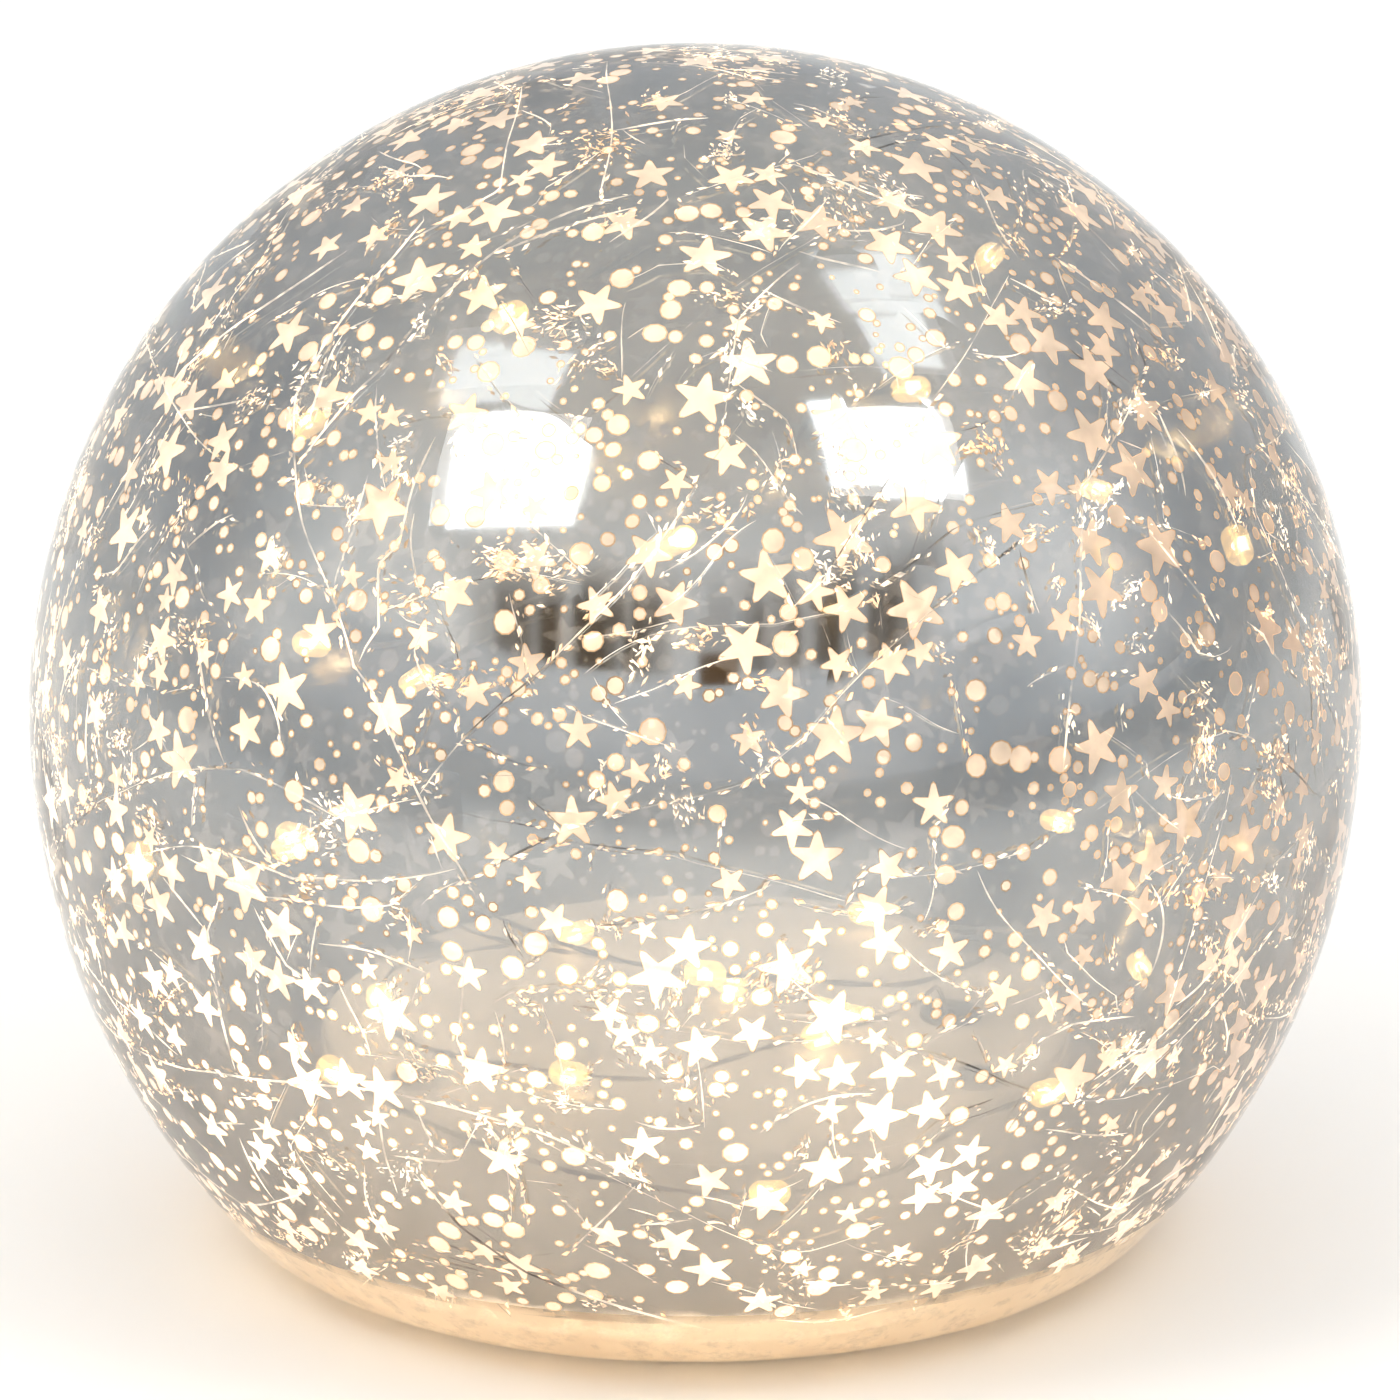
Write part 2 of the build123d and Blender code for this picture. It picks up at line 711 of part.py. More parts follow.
route, bead_frames = string_route()
string_points = [(point.X, point.Y, point.Z) for point in route]
save(tube(string_points, corner_radii(string_points), string_radius), "led_string_wire")
save(Compound([led_chip(frame) for frame in bead_frames]), "led_chips")
save(Compound([led_droplet(frame) for frame in bead_frames]), "led_droplets")
string_end = Plane(origin=route[-1], z_dir=route[-1] - route[-2])
end_cap = string_end * Pos(0, 0, end_cap_length / 2) * Cylinder(end_cap_radius, end_cap_length)
save(end_cap, "string_end_cap")
print(len(bead_frames), "LEDs")
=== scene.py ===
import itertools
import math
import random

import bpy
from mathutils import Matrix, Vector, noise
from mathutils.geometry import delaunay_2d_cdt


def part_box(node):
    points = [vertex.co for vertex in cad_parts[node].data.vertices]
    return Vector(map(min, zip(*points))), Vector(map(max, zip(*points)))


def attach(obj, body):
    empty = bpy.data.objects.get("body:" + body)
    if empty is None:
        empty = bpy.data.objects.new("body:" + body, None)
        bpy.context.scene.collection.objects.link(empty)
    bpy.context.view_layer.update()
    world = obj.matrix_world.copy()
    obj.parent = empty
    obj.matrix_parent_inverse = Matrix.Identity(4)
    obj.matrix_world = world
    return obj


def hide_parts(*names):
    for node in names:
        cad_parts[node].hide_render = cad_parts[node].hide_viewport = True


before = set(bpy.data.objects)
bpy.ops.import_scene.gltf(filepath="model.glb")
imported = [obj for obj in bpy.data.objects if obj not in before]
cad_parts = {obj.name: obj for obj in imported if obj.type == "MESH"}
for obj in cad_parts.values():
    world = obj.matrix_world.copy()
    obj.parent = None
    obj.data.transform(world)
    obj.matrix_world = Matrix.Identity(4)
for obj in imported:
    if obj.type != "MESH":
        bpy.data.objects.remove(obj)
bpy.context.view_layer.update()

# Star-pattern LED globe lamp. Everything is in metres, in the CAD model's own frame.
random.seed(11)

MM = 0.001
BODY = "lamp_body"
UP = Vector((0, 0, 1))

# ---- the ball's shape
glass_low, glass_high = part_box("glass_globe")
BALL_RADIUS = (glass_high[0] - glass_low[0]) / 2
BALL_CENTRE = Vector((0, 0, glass_high[2] - BALL_RADIUS))
RIM_HEIGHT = glass_low[2]
WALL = 2.2 * MM
LOWER_RADIUS = 86.1 * MM
LOWER_ANGLE = math.radians(40.8)
HEEL_RADIUS = 11.6 * MM
RIM_OPENING = 43.1 * MM
RIM_GRIND = 0.35 * MM
FILM_DEPTH = 2.12 * MM
FILM_EDGE_ABOVE_RIM = 8.5 * MM
LOWER_CENTRE_R = BALL_RADIUS - LOWER_RADIUS
HEEL_CENTRE_R = LOWER_CENTRE_R + (LOWER_RADIUS - HEEL_RADIUS) * math.cos(LOWER_ANGLE)
HEEL_CENTRE_Z = RIM_HEIGHT + HEEL_RADIUS


def shell_distance(elevation, depth):
    """Distance from the ball's centre to the surface at this depth in the wall."""
    if elevation >= 0:
        return BALL_RADIUS - depth
    radius = LOWER_RADIUS - depth
    across = LOWER_CENTRE_R * math.cos(elevation)
    return across + math.sqrt(radius**2 - (LOWER_CENTRE_R * math.sin(elevation)) ** 2)


def shell_point(azimuth, elevation, depth):
    reach = shell_distance(elevation, depth)
    flat = reach * math.cos(elevation)
    return BALL_CENTRE + Vector(
        (flat * math.cos(azimuth), flat * math.sin(azimuth), reach * math.sin(elevation))
    )


def shell_normal(point):
    """Outward normal of the ball's surface at a point in its wall."""
    offset = point - BALL_CENTRE
    if offset.z >= 0:
        return offset.normalized()
    flat = math.hypot(offset.x, offset.y)
    stretch = (flat - LOWER_CENTRE_R) / flat
    return Vector((offset.x * stretch, offset.y * stretch, offset.z)).normalized()


def angles_of(direction):
    return math.atan2(direction.y, direction.x), math.asin(max(-1, min(1, direction.z)))


def in_wall(direction, depth):
    """Point at this depth in the wall, in a direction from the ball's centre."""
    azimuth, elevation = angles_of(direction.normalized())
    return shell_point(azimuth, elevation, depth)


def turned(vector, angle, axis):
    return Matrix.Rotation(angle, 3, axis) @ vector


def square_to(vector, axis):
    """Unit vector along the part of a vector that is square to a unit axis."""
    return (vector - axis * vector.dot(axis)).normalized()


# ---- camera
CAMERA_ELEVATION = math.radians(18)
CAMERA_DISTANCE = 17 * BALL_RADIUS
BALL_RADIUS_IN_VIEW = 667 / 1400
VIEW_RAISE = 1.1 * MM
VIEW_RIGHT = 0.5 * MM

scene = bpy.context.scene
camera_data = bpy.data.cameras.new("camera")
camera = bpy.data.objects.new("camera", camera_data)
scene.collection.objects.link(camera)
scene.camera = camera
toward_camera = Vector((0, -math.cos(CAMERA_ELEVATION), math.sin(CAMERA_ELEVATION)))
camera_right = Vector((1, 0, 0))
camera_up = toward_camera.cross(camera_right)
target = BALL_CENTRE + Vector((VIEW_RIGHT, 0, VIEW_RAISE))
camera.location = target + toward_camera * CAMERA_DISTANCE
camera.rotation_euler = (-toward_camera).to_track_quat("-Z", "Y").to_euler()
camera_data.sensor_width = 36
outline_slope = math.tan(math.asin(BALL_RADIUS / CAMERA_DISTANCE))
camera_data.lens = camera_data.sensor_width * BALL_RADIUS_IN_VIEW / outline_slope
camera_data.clip_start = 0.05
camera_data.clip_end = 30

scene.view_settings.view_transform = "Standard"
scene.cycles.max_bounces = 16
scene.cycles.transparent_max_bounces = 24
scene.cycles.transmission_bounces = 12
scene.cycles.glossy_bounces = 6


# ---- studio lights
SOFTBOX_WHITE = (1.0, 0.99, 0.97)
PANEL_WHITE = (0.97, 0.99, 1.0)
# Name, place and span of the reflection in ball radii, distance in metres, radiance and colour.
SOFTBOXES = (
    ("softbox_left", (-0.271, 0.348), (0.195, 0.157), 1.2, 6.0, SOFTBOX_WHITE),
    ("softbox_right", (0.280, 0.367), (0.190, 0.125), 1.2, 6.0, SOFTBOX_WHITE),
    ("panel_left", (-0.27, 0.51), (0.20, 0.085), 1.4, 1.35, PANEL_WHITE),
    ("panel_right", (0.305, 0.535), (0.105, 0.100), 1.4, 1.35, PANEL_WHITE),
    ("panel_top", (0.255, 0.625), (0.125, 0.060), 1.4, 1.25, PANEL_WHITE),
)


def reflected_direction(right, up):
    """Where light comes from that the ball reflects to the camera, this many radii from its middle."""
    ahead = math.sqrt(1 - right**2 - up**2)
    normal = camera_right * right + camera_up * up + toward_camera * ahead
    return 2 * normal.dot(toward_camera) * normal - toward_camera


def area_light(name, matrix, width, height, radiance, colour):
    data = bpy.data.lights.new(name, "AREA")
    data.shape = "RECTANGLE"
    data.size = width
    data.size_y = height
    data.energy = radiance * math.pi * width * height
    data.color = colour
    light = bpy.data.objects.new(name, data)
    scene.collection.objects.link(light)
    light.matrix_world = matrix
    light.visible_camera = False
    return light


def softbox(name, place, span, distance, radiance, colour):
    """Area light whose reflection stands upright at this place in the ball."""
    right, up = place
    half_right, half_up = span[0] / 2, span[1] / 2
    middle = reflected_direction(right, up)
    width = reflected_direction(right + half_right, up) - reflected_direction(right - half_right, up)
    height = reflected_direction(right, up + half_up) - reflected_direction(right, up - half_up)
    y_axis = middle.cross(width).normalized()
    if y_axis.dot(height) < 0:
        y_axis = -y_axis
    x_axis = y_axis.cross(middle)
    matrix = Matrix((x_axis, y_axis, middle)).transposed().to_4x4()
    matrix.translation = BALL_CENTRE + middle * distance
    area_light(name, matrix, width.length * distance, height.length * distance, radiance, colour)


for settings in SOFTBOXES:
    softbox(*settings)
# Broad fill for the floor, kept out of the ball's reflections.
overhead = Matrix.Translation((0, 0.22, 1.3))
fill = area_light("ceiling_fill", overhead, 1.4, 1.7, 0.25, (1.0, 1.0, 1.0))
fill.visible_glossy = False
fill.visible_transmission = False


# ---- node helpers
def feed(tree, value, socket):
    """Link an output to the socket, or set the socket to a number, a vector or a colour."""
    if isinstance(value, bpy.types.NodeSocket):
        tree.links.new(value, socket)
    elif isinstance(value, tuple) and len(socket.default_value) > len(value):
        socket.default_value = (*value, 1)
    else:
        socket.default_value = value


def configure(tree, target_node, **values):
    """Feed the inputs of these names, _ for a space; the others are the node's settings."""
    for key, value in values.items():
        name = key.replace("_", " ")
        if name in target_node.inputs:
            feed(tree, value, target_node.inputs[name])
        else:
            setattr(target_node, key, value)


def node(tree, kind, **values):
    made = tree.nodes.new(kind)
    configure(tree, made, **values)
    return made


def arithmetic(tree, operation, *values, kind="ShaderNodeMath", **inputs):
    made = node(tree, kind, operation=operation, **inputs)
    for value, socket in zip(values, made.inputs):
        feed(tree, value, socket)
    return made.outputs[0]


def vector_math(tree, operation, *values, **inputs):
    return arithmetic(tree, operation, *values, kind="ShaderNodeVectorMath", **inputs)


def product(tree, *factors):
    total = factors[0]
    for factor in factors[1:]:
        total = arithmetic(tree, "MULTIPLY", total, factor)
    return total


def map_range(tree, value, low, high, to_low, to_high, kind="LINEAR"):
    return node(
        tree, "ShaderNodeMapRange", interpolation_type=kind,
        Value=value, From_Min=low, From_Max=high, To_Min=to_low, To_Max=to_high,
    ).outputs["Result"]


def mix_colours(tree, factor, colour_a, colour_b):
    mix = node(tree, "ShaderNodeMix", data_type="RGBA", Factor=factor)
    feed(tree, colour_a, mix.inputs[6])
    feed(tree, colour_b, mix.inputs[7])
    return mix.outputs[2]


def two_colours(tree, value, colour_a, colour_b, low=0.35, high=0.65):
    ramp_node = tree.nodes.new("ShaderNodeValToRGB")
    ramp_node.color_ramp.elements[0].position = low
    ramp_node.color_ramp.elements[0].color = (*colour_a, 1)
    ramp_node.color_ramp.elements[1].position = high
    ramp_node.color_ramp.elements[1].color = (*colour_b, 1)
    tree.links.new(value, ramp_node.inputs["Fac"])
    return ramp_node.outputs["Color"]


def object_coordinates(tree):
    return tree.nodes.new("ShaderNodeTexCoord").outputs["Object"]


def coordinate(tree, axis):
    """One of the object coordinates, in metres."""
    return node(tree, "ShaderNodeSeparateXYZ", Vector=object_coordinates(tree)).outputs[axis]


def noise_texture(tree, scale, detail=3.0, roughness=0.55, distortion=0.0):
    return node(
        tree, "ShaderNodeTexNoise", Vector=object_coordinates(tree),
        Scale=scale, Detail=detail, Roughness=roughness, Distortion=distortion,
    ).outputs["Fac"]


# ---- the room that the ball reflects
world = bpy.data.worlds.new("studio")
scene.world = world
world.use_nodes = True
sky = world.node_tree


def sky_step(source, low, high, to_low, to_high):
    return map_range(sky, source, low, high, to_low, to_high, "SMOOTHSTEP")


def sky_distance(source, middle):
    """How far one value lies from a middle value."""
    return arithmetic(sky, "ABSOLUTE", arithmetic(sky, "SUBTRACT", source, middle))


view_direction = node(sky, "ShaderNodeTexCoord").outputs["Generated"]
side_x, side_y, side_z = node(sky, "ShaderNodeSeparateXYZ", Vector=view_direction).outputs
# Walls: warmer on the left, dimmer overhead and behind the lamp.
walls = mix_colours(sky, sky_step(side_x, -0.8, 0.7, 0.0, 1.0), (1.30, 1.29, 1.26), (1.30, 1.31, 1.32))
behind = mix_colours(sky, sky_step(side_y, -0.15, 0.35, 0.0, 1.0), walls, (0.70, 0.72, 0.74))
high = mix_colours(sky, sky_step(side_z, 0.45, 0.90, 0.0, 1.0), behind, (0.98, 0.96, 0.92))
# Pale screen in front, up to the level edge that shows across the middle of the ball.
in_front = product(sky, sky_step(side_y, -0.45, -0.15, 1.0, 0.0), sky_step(side_z, 0.370, 0.380, 1.0, 0.0))
screened = mix_colours(sky, in_front, high, (0.98, 1.00, 1.02))
near_horizon = sky_step(side_z, 0.04, 0.22, 1.0, 0.0)
level_room = mix_colours(sky, near_horizon, screened, (0.86, 0.88, 0.90))
# Two dim openings side by side in front, above the edge of the screen and below the softboxes.
aside = sky_distance(side_x, 0.02)
streaks = node(sky, "ShaderNodeTexNoise", noise_dimensions="1D", W=side_x, Scale=11.0, Detail=1.0)
dimness = product(
    sky,
    sky_step(side_y, -0.50, -0.38, 1.0, 0.0),
    sky_step(side_z, 0.365, 0.385, 0.0, 1.0),
    sky_step(side_z, 0.50, 0.70, 1.0, 0.0),
    sky_step(aside, 0.08, 0.20, 0.45, 1.0),
    sky_step(aside, 0.54, 0.72, 1.0, 0.0),
    sky_step(streaks.outputs["Fac"], 0.38, 0.54, 0.45, 1.0),
)
dimmed = mix_colours(sky, dimness, level_room, (0.13, 0.10, 0.07))
brown_spot = product(
    sky,
    sky_step(side_y, -0.50, -0.38, 1.0, 0.0),
    sky_step(side_z, 0.340, 0.350, 0.0, 1.0),
    sky_step(side_z, 0.420, 0.440, 1.0, 0.0),
    sky_step(sky_distance(side_x, 0.058), 0.045, 0.065, 1.0, 0.0),
)
room = mix_colours(sky, brown_spot, dimmed, (0.20, 0.11, 0.05))
feed(sky, room, sky.nodes["Background"].inputs["Color"])


# ---- materials
def new_material(name):
    material = bpy.data.materials.new(name)
    material.use_nodes = True
    tree = material.node_tree
    return material, tree, tree.nodes["Principled BSDF"]


def add_bump(tree, shader, value, strength, distance):
    bump = node(tree, "ShaderNodeBump", Strength=strength, Distance=distance, Height=value)
    configure(tree, shader, Normal=bump.outputs["Normal"])


def mix_shaders(tree, share, first, second):
    """Mix of two shaders: share is 0 for the first alone and 1 for the second."""
    mix = node(tree, "ShaderNodeMixShader", Fac=share)
    tree.links.new(first.outputs[0], mix.inputs[1])
    tree.links.new(second.outputs[0], mix.inputs[2])
    return mix


def let_light_through(tree, shader, colour, share):
    return mix_shaders(tree, share, shader, node(tree, "ShaderNodeBsdfTranslucent", Color=colour))


def blend_with_clear(tree, shader, amount):
    """Use the shader for the material's surface: amount is 0 for clear and 1 for the shader alone."""
    mix = mix_shaders(tree, amount, node(tree, "ShaderNodeBsdfTransparent"), shader)
    tree.links.new(mix.outputs[0], tree.nodes["Material Output"].inputs["Surface"])


def moulded(name, colour_a, colour_b, roughness, grain, bump=0.12, metallic=0.0, coat=0.0):
    """Plain moulded or turned stock: mottled colour, uneven gloss and a fine grain."""
    material, tree, shader = new_material(name)
    broad = noise_texture(tree, grain * 0.08, 4.0)
    fine = noise_texture(tree, grain, 2.0)
    configure(
        tree, shader,
        Base_Color=two_colours(tree, broad, colour_a, colour_b),
        Roughness=map_range(tree, broad, 0.3, 0.7, roughness - 0.06, roughness + 0.08),
        Metallic=metallic,
        Coat_Weight=coat,
    )
    add_bump(tree, shader, fine, bump, 0.05 * MM)
    return material


def clear_glass():
    material, tree, shader = new_material("clear_crackle_glass")
    waves = noise_texture(tree, 60, 2.0)
    smear = noise_texture(tree, 25, 3.0)
    configure(
        tree, shader,
        Base_Color=(0.99, 0.985, 0.975),
        Roughness=map_range(tree, smear, 0.35, 0.75, 0.0, 0.03),
        IOR=1.48,
        Transmission_Weight=1.0,
    )
    add_bump(tree, shader, waves, 0.10, 0.4 * MM)
    return material


def silver_film():
    """Half-silvered film whose facets tilt from one crackle cell to the next."""
    material, tree, shader = new_material("silver_film")
    # Silver grey above; below, a warmer, darker painted glow in the colour stands in for the LED light that
    # soaks into the film.
    height = coordinate(tree, "Z")
    warmth = map_range(tree, height, 38 * MM, 76 * MM, 1.0, 0.0)
    blotch = noise_texture(tree, 22, 4.0, 0.6)
    above = two_colours(tree, blotch, (0.29, 0.318, 0.338), (0.43, 0.447, 0.452), 0.38, 0.60)
    painted_glow_silver = two_colours(tree, blotch, (0.25, 0.254, 0.252), (0.37, 0.360, 0.342), 0.38, 0.60)
    # Each cell's random colour, less its middle value, is the small vector that tilts its face.
    coordinates = object_coordinates(tree)
    wobble = node(tree, "ShaderNodeTexNoise", Vector=coordinates, Scale=45.0, Detail=2.0)
    shift = vector_math(tree, "SCALE", wobble.outputs["Color"], Scale=0.012)
    warped = vector_math(tree, "ADD", coordinates, shift)
    cells = node(tree, "ShaderNodeTexVoronoi", Vector=warped, Scale=55.0)
    centred = vector_math(tree, "SUBTRACT", cells.outputs["Color"], (0.5, 0.5, 0.5))
    tilt = vector_math(tree, "SCALE", centred, Scale=0.035)
    plain_normal = node(tree, "ShaderNodeNewGeometry").outputs["Normal"]
    tilted = vector_math(tree, "ADD", plain_normal, tilt)
    configure(
        tree, shader,
        Base_Color=mix_colours(tree, warmth, above, painted_glow_silver),
        Metallic=1.0,
        Roughness=map_range(tree, noise_texture(tree, 90, 3.0), 0.3, 0.7, 0.03, 0.08),
        Normal=vector_math(tree, "NORMALIZE", tilted),
    )
    # The film lets a little light through all over, and thins out towards its ragged lower edge.
    haze = map_range(tree, warmth, 0.0, 1.0, 0.013, 0.018)
    hazy = let_light_through(tree, shader, (1.0, 0.80, 0.53), haze)
    ragged = arithmetic(tree, "MULTIPLY_ADD", noise_texture(tree, 160, 4.0), 5 * MM, height)
    edge = RIM_HEIGHT + FILM_EDGE_ABOVE_RIM
    blend_with_clear(tree, hazy, map_range(tree, ragged, edge + 1.5 * MM, edge + 4.5 * MM, 0.0, 0.92))
    return material


def frosted_window():
    """Cleared star or dot: etched glass that lets the light from inside through, with a painted glow in its
    emission.
    """
    material, tree, shader = new_material("cleared_star")
    tint = noise_texture(tree, 30, 4.0, 0.65)
    crumple = noise_texture(tree, 420, 4.0, 0.75, 0.6)
    # Painted light and shade: the marks' glow, colour and see-through colour are dimmer and browner on the
    # right, and the glow is brightest low down.
    side = map_range(tree, coordinate(tree, "X"), 22 * MM, 62 * MM, 0.0, 1.0)
    pale = two_colours(tree, tint, (1.0, 0.84, 0.72), (1.0, 0.95, 0.86))
    painted_glow = product(
        tree,
        map_range(tree, tint, 0.36, 0.64, 0.15, 0.85),
        map_range(tree, crumple, 0.36, 0.64, 0.70, 1.30),
        map_range(tree, side, 0.0, 1.0, 1.0, 0.45),
        map_range(tree, coordinate(tree, "Z"), 35 * MM, 75 * MM, 3.6, 1.0),
    )
    configure(
        tree, shader,
        Base_Color=mix_colours(tree, side, pale, (0.62, 0.52, 0.47)),
        Roughness=0.5,
        Emission_Color=two_colours(tree, tint, (1.0, 0.76, 0.62), (1.0, 0.90, 0.74)),
        Emission_Strength=painted_glow,
    )
    through = two_colours(tree, side, (1.0, 0.98, 0.95), (0.50, 0.42, 0.37), 0.0, 1.0)
    etched = let_light_through(tree, shader, through, 0.68)
    patch = noise_texture(tree, 120, 3.0)
    blend_with_clear(tree, etched, map_range(tree, patch, 0.35, 0.65, 0.60, 0.95))
    return material


def feathered_edge():
    """Thinned silver round a cleared mark, with a painted amber glow: its brown colour and emission stand in
    for the light from inside.
    """
    material, tree, shader = new_material("feathered_edge")
    tone = noise_texture(tree, 180, 3.0)
    configure(
        tree, shader,
        Base_Color=two_colours(tree, tone, (0.42, 0.27, 0.15), (0.66, 0.50, 0.34)),
        Metallic=0.6,
        Roughness=0.3,
        Emission_Color=(1.0, 0.60, 0.28),
        Emission_Strength=map_range(tree, tone, 0.3, 0.7, 0.12, 0.50),
    )
    blend_with_clear(tree, shader, map_range(tree, tone, 0.3, 0.7, 0.75, 0.95))
    return material


def crack_face():
    """Open crack in the wall: in turns a dark hair line and a bright one with a painted glint, its pale
    colour and emission standing in for the light it catches.
    """
    material, tree, shader = new_material("crack_face")
    turn = noise_texture(tree, 34, 2.0)
    configure(
        tree, shader,
        Base_Color=two_colours(tree, turn, (0.16, 0.14, 0.12), (0.95, 0.92, 0.87), 0.36, 0.44),
        Metallic=0.5,
        Roughness=0.25,
        Emission_Color=(1.0, 0.86, 0.68),
        Emission_Strength=map_range(tree, turn, 0.38, 0.55, 0.0, 1.3),
    )
    gaps = noise_texture(tree, 150, 3.0, 0.6)
    blend_with_clear(tree, shader, map_range(tree, gaps, 0.38, 0.56, 0.10, 0.90))
    return material


def crack_spark():
    """Facet of a crack with a painted glint: its emission stands in for the light from inside that it throws
    towards the viewer.
    """
    material, tree, shader = new_material("crack_spark")
    tone = noise_texture(tree, 95, 3.0, 0.7)
    painted_glint = noise_texture(tree, 330, 3.0, 0.7)
    configure(
        tree, shader,
        Base_Color=two_colours(tree, tone, (1.0, 0.70, 0.42), (1.0, 0.93, 0.84)),
        Roughness=0.2,
        Emission_Color=two_colours(tree, tone, (1.0, 0.60, 0.30), (1.0, 0.86, 0.68)),
        Emission_Strength=map_range(tree, painted_glint, 0.36, 0.66, 0.35, 1.9),
    )
    blend_with_clear(tree, shader, map_range(tree, painted_glint, 0.3, 0.5, 0.50, 0.95))
    return material


def bare_band_haze():
    """Cream haze on the bare glass under the film, with a painted glow: its emission stands in for the light
    in the base, whose colour it takes.
    """
    material, tree, shader = new_material("bare_band")
    tone = noise_texture(tree, 45, 4.0, 0.6)
    configure(
        tree, shader,
        Base_Color=two_colours(tree, tone, (0.72, 0.56, 0.40), (0.86, 0.74, 0.58)),
        Roughness=0.45,
        Emission_Color=two_colours(tree, tone, (1.0, 0.66, 0.38), (1.0, 0.76, 0.50)),
        Emission_Strength=map_range(tree, tone, 0.3, 0.7, 0.10, 0.26),
    )
    milky = let_light_through(tree, shader, (1.0, 0.94, 0.82), 0.5)
    specks = noise_texture(tree, 300, 4.0, 0.7)
    blend_with_clear(tree, milky, map_range(tree, specks, 0.3, 0.5, 0.55, 0.88))
    return material


def lit_resin():
    """Clear droplet round a lit chip, mostly see-through so that the chip's light gets out."""
    material, tree, shader = new_material("lit_resin")
    swirl = noise_texture(tree, 900, 2.0)
    configure(
        tree, shader,
        Base_Color=(1.0, 0.97, 0.92),
        Roughness=map_range(tree, swirl, 0.3, 0.7, 0.01, 0.08),
        IOR=1.5,
        Transmission_Weight=1.0,
        Emission_Color=(1.0, 0.58, 0.16),
        Emission_Strength=map_range(tree, swirl, 0.3, 0.7, 18.0, 34.0),
    )
    blend_with_clear(tree, shader, 0.15)
    return material


def lit_phosphor():
    """LED chip under its yellow phosphor."""
    material, tree, shader = new_material("led_phosphor")
    swirl = noise_texture(tree, 900, 2.0)
    configure(
        tree, shader,
        Base_Color=(1.0, 0.84, 0.56),
        Roughness=0.12,
        Emission_Color=(1.0, 0.84, 0.56),
        Emission_Strength=map_range(tree, swirl, 0.3, 0.7, 44.0, 66.0),
    )
    return material


def floor_paint():
    """Pale paint with painted shade: darker far away and most so on the right."""
    material, tree, shader = new_material("pale_floor")
    near = two_colours(tree, noise_texture(tree, 3, 2.0), (0.93, 0.93, 0.925), (0.95, 0.95, 0.945))
    # Painted shade: the floor's colour darkens away from the lamp and towards the right.
    rightward = map_range(tree, coordinate(tree, "X"), 0.3, 1.1, 0.0, 1.0)
    painted_far_shade = two_colours(tree, rightward, (0.88, 0.90, 0.92), (0.80, 0.82, 0.84), 0.0, 1.0)
    distance = node(tree, "ShaderNodeVectorMath", operation="LENGTH", Vector=object_coordinates(tree))
    painted_shade_mask = map_range(tree, distance.outputs["Value"], 0.5, 1.2, 0.0, 1.0)
    configure(tree, shader, Base_Color=mix_colours(tree, painted_shade_mask, near, painted_far_shade), Roughness=0.7)
    return material


# ---- mesh helpers
def mesh_object(name, points, faces, material):
    mesh = bpy.data.meshes.new(name)
    mesh.from_pydata(points, [], faces)
    mesh.validate()
    mesh.shade_smooth()
    mesh.materials.append(material)
    made = bpy.data.objects.new(name, mesh)
    scene.collection.objects.link(made)
    return made


def arc_points(centre_r, centre_z, radius, start, end, steps):
    """Points on an arc in the profile plane, angles in radians from +R, without the last one."""
    found = []
    for step in range(steps):
        angle = start + (end - start) * step / steps
        found.append((centre_r + radius * math.cos(angle), centre_z + radius * math.sin(angle)))
    return found


def revolved(profile, around, first=0):
    """Rings of points round the axis and the faces between them; first is the first point's number."""
    points = []
    for r, z in profile:
        for turn in range(around):
            angle = math.tau * turn / around
            points.append(Vector((r * math.cos(angle), r * math.sin(angle), z)))
    faces = []
    for ring in range(len(profile) - 1):
        start = first + ring * around
        for turn in range(around):
            after = (turn + 1) % around
            faces.append((start + turn, start + around + turn, start + around + after, start + after))
    return points, faces


# ---- glass ball
UPPER_STEPS = 60
LOWER_STEPS = 32
HEEL_STEPS = 16
BALL_AROUND = 240
WAVE_HEIGHT = 0.10 * MM


def ball_profile():
    """Outer surface from the top down, round the ground rim and up the inner surface."""
    quarter = math.pi / 2
    upper = (0, BALL_CENTRE.z)
    lower = (LOWER_CENTRE_R, BALL_CENTRE.z)
    heel = (HEEL_CENTRE_R, HEEL_CENTRE_Z)
    rim_top = RIM_HEIGHT + WALL
    outline = arc_points(*upper, BALL_RADIUS, quarter, 0, UPPER_STEPS)
    outline += arc_points(*lower, LOWER_RADIUS, 0, -LOWER_ANGLE, LOWER_STEPS)
    outline += arc_points(*heel, HEEL_RADIUS, -LOWER_ANGLE, -quarter, HEEL_STEPS)
    outline += [
        (HEEL_CENTRE_R, RIM_HEIGHT),
        (RIM_OPENING + RIM_GRIND, RIM_HEIGHT),
        (RIM_OPENING, RIM_HEIGHT + RIM_GRIND),
        (RIM_OPENING, rim_top - RIM_GRIND),
        (RIM_OPENING + RIM_GRIND, rim_top),
    ]
    outline += arc_points(*heel, HEEL_RADIUS - WALL, -quarter, -LOWER_ANGLE, HEEL_STEPS)
    outline += arc_points(*lower, LOWER_RADIUS - WALL, -LOWER_ANGLE, 0, LOWER_STEPS)
    outline += arc_points(*upper, BALL_RADIUS - WALL, 0, quarter, UPPER_STEPS)
    return outline


